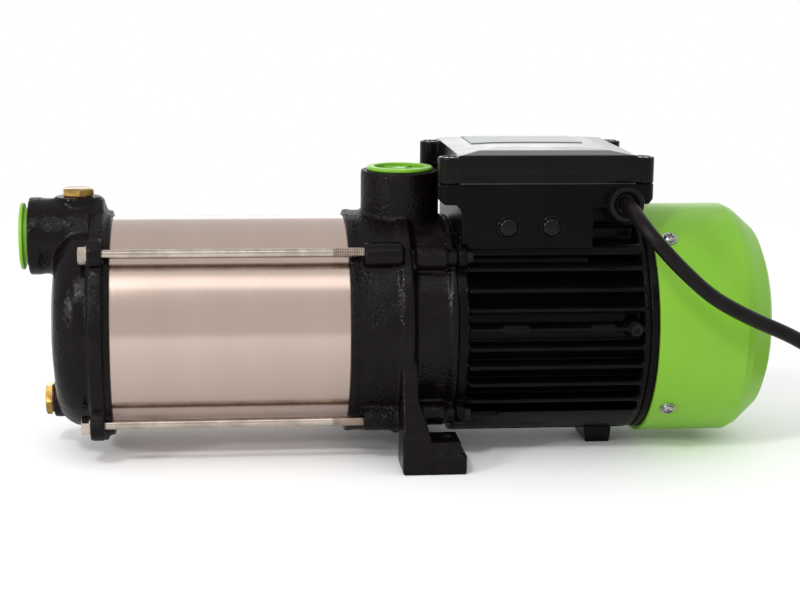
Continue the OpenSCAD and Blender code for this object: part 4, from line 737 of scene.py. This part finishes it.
knockOut = {"inset": 6.5, "ringOuter": 6.48, "ringInner": 5.6, "ringHeight": 1.6,
            "dome": 5.5, "domeFoot": 1.45, "rise": 2.3, "steps": 10}
ringOuter, ringInner, ringTop = knockOut["ringOuter"], knockOut["ringInner"], knockOut["ringHeight"]
discProfile = [(0, ringOuter), (ringTop - 0.1, ringOuter), (ringTop, ringOuter - 0.15),
               (ringTop, ringInner + 0.3), (ringTop - 0.35, ringInner)]
for i in range(knockOut["steps"]):
    a = math.radians(90 * i / knockOut["steps"])
    discProfile.append((knockOut["domeFoot"] + knockOut["rise"] * math.sin(a),
                        knockOut["dome"] * math.cos(a)))
discProfile.append((knockOut["domeFoot"] + knockOut["rise"], 0.2))
low, high = cornersOf("box_knockouts")
discMaster = turnPiece("disc", discProfile)
discParts = [settle(copyPiece(discMaster), (x, high[1], (low[2] + high[2]) / 2), "-y")
             for x in (low[0] + knockOut["inset"], high[0] - knockOut["inset"])]
bpy.data.objects.remove(discMaster)
standFor(joinPieces("knockOutDiscs", discParts), "box_knockouts", "polishedNylon")
print("knock-outs made")

gland = {"outer": 10.3, "edge": 1.4, "inner": 7.65, "sunk": 8, "bore": 5.75, "flare": 2.2,
         "flutes": 16, "flute": 0.55, "fluteOut": 0.25}
low, high = cornersOf("gland_nut")
out = high[1] - low[1] - gland["sunk"]
nut = turnPiece("glandNut", [
    (-gland["sunk"], gland["inner"]), (0.05, gland["inner"]), (0.1, gland["outer"]),
    (out - 1.6, gland["outer"]), (out - 0.4, gland["outer"] - 0.5),
    (out, gland["outer"] - gland["edge"])], 64)
bore = turnPiece("bore", [(-gland["sunk"] - 1, gland["bore"]), (out - 1.8, gland["bore"]),
                          (out + 0.5, gland["bore"] + gland["flare"])], 64)
combine(nut, [bore], "DIFFERENCE")
fluteMaster = turnPiece("flute", [(1.2, gland["flute"]), (out - 1.4, gland["flute"])], 12)
fluteR = gland["outer"] + gland["fluteOut"]
for i in range(gland["flutes"]):
    a = 2 * math.pi * i / gland["flutes"]
    groove = settle(copyPiece(fluteMaster), (math.cos(a) * fluteR, math.sin(a) * fluteR, 0), "z")
    combine(nut, [groove], "DIFFERENCE")
bpy.data.objects.remove(fluteMaster)
smoothEdges(nut)
settle(nut, ((low[0] + high[0]) / 2, low[1] + out, (low[2] + high[2]) / 2), "-y")
standFor(nut, "gland_nut", "blackPolypropylene")
print("gland nut made")

# ---- floor, world and lamps
ground = {
    "size": 12, "colour": "#ffffff", "rough": 0.9,
    "fadeFrom": 0.45, "fadeTo": 1.0,  # m from the origin; between these the seen floor turns plain white
}
bpy.ops.object.select_all(action="DESELECT")
bpy.ops.mesh.primitive_plane_add(size=ground["size"], location=(0, 0, 0))
floor = bpy.context.object
floor.name = "floor"
material, tree = newMaterial("paleFloor")
shader = addNode(tree, "ShaderNodeBsdfPrincipled", {
    "Base Color": hexColour(ground["colour"]), "Roughness": ground["rough"]})
away = addNode(tree, "ShaderNodeVectorMath", {"operation": "LENGTH"}, {0: objectPlace(tree).outputs[0]})
share = addNode(tree, "ShaderNodeMapRange", {"From Min": ground["fadeFrom"], "From Max": ground["fadeTo"]},
                {"Value": away.outputs["Value"]})
asSeen = addNode(tree, "ShaderNodeMath", {"operation": "MULTIPLY"}, {
    0: share.outputs[0], 1: addNode(tree, "ShaderNodeLightPath").outputs["Is Camera Ray"]})
white = addNode(tree, "ShaderNodeEmission", {"Color": (1, 1, 1, 1), "Strength": 1.0})
faded = addNode(tree, "ShaderNodeMixShader", {}, {
    0: asSeen.outputs[0], 1: shader.outputs[0], 2: white.outputs[0]})
finishMaterial(tree, faded)
wear(floor, material)

studio = {"fill": 0.88, "back": 1.0}  # strength of the light on the pump, and of the white that is seen
world = bpy.context.scene.world or bpy.data.worlds.new("studio")
bpy.context.scene.world = world
world.use_nodes = True
world.node_tree.nodes.clear()
lightPath = addNode(world.node_tree, "ShaderNodeLightPath")
seen = addNode(world.node_tree, "ShaderNodeMath", {"operation": "MAXIMUM"}, {
    0: lightPath.outputs["Is Camera Ray"], 1: lightPath.outputs["Is Glossy Ray"]})
shown = addNode(world.node_tree, "ShaderNodeMath", {"operation": "MAXIMUM"}, {
    0: seen.outputs[0], 1: lightPath.outputs["Is Transmission Ray"]})
fill = addNode(world.node_tree, "ShaderNodeBackground", {"Color": (1, 1, 1, 1), "Strength": studio["fill"]})
back = addNode(world.node_tree, "ShaderNodeBackground", {"Color": (1, 1, 1, 1), "Strength": studio["back"]})
mixed = addNode(world.node_tree, "ShaderNodeMixShader", {}, {
    0: shown.outputs[0], 1: fill.outputs[0], 2: back.outputs[0]})
addNode(world.node_tree, "ShaderNodeOutputWorld", {}, {"Surface": mixed.outputs[0]})

softboxes = {
    # place in m, width and height in m, watts
    "keyPanel": ((-0.15, -0.85, 1.2), 1.3, 0.32, 1.9),
    "rearPanel": ((0.0, 2.2, 0.62), 2.4, 0.45, 6.3),
    "sidePanel": ((-1.1, -0.8, 0.6), 0.13, 0.22, 5.5),
    "sparkPanel": ((-0.5, -0.85, 1.0), 0.1, 0.14, 4.2),
}
aim = Vector((0, 0, 0.07))  # m, about the pump's middle
for name, (place, width, height, watts) in softboxes.items():
    bpy.ops.object.light_add(type="AREA", location=place)
    lamp = bpy.context.object
    lamp.name = name
    lamp.data.shape = "RECTANGLE"
    lamp.data.size, lamp.data.size_y = width, height
    lamp.data.energy = watts
    lamp.rotation_euler = (aim - lamp.location).to_track_quat("-Z", "Y").to_euler()
bpy.context.scene.view_settings.view_transform = "Standard"
print("floor and lamps placed")
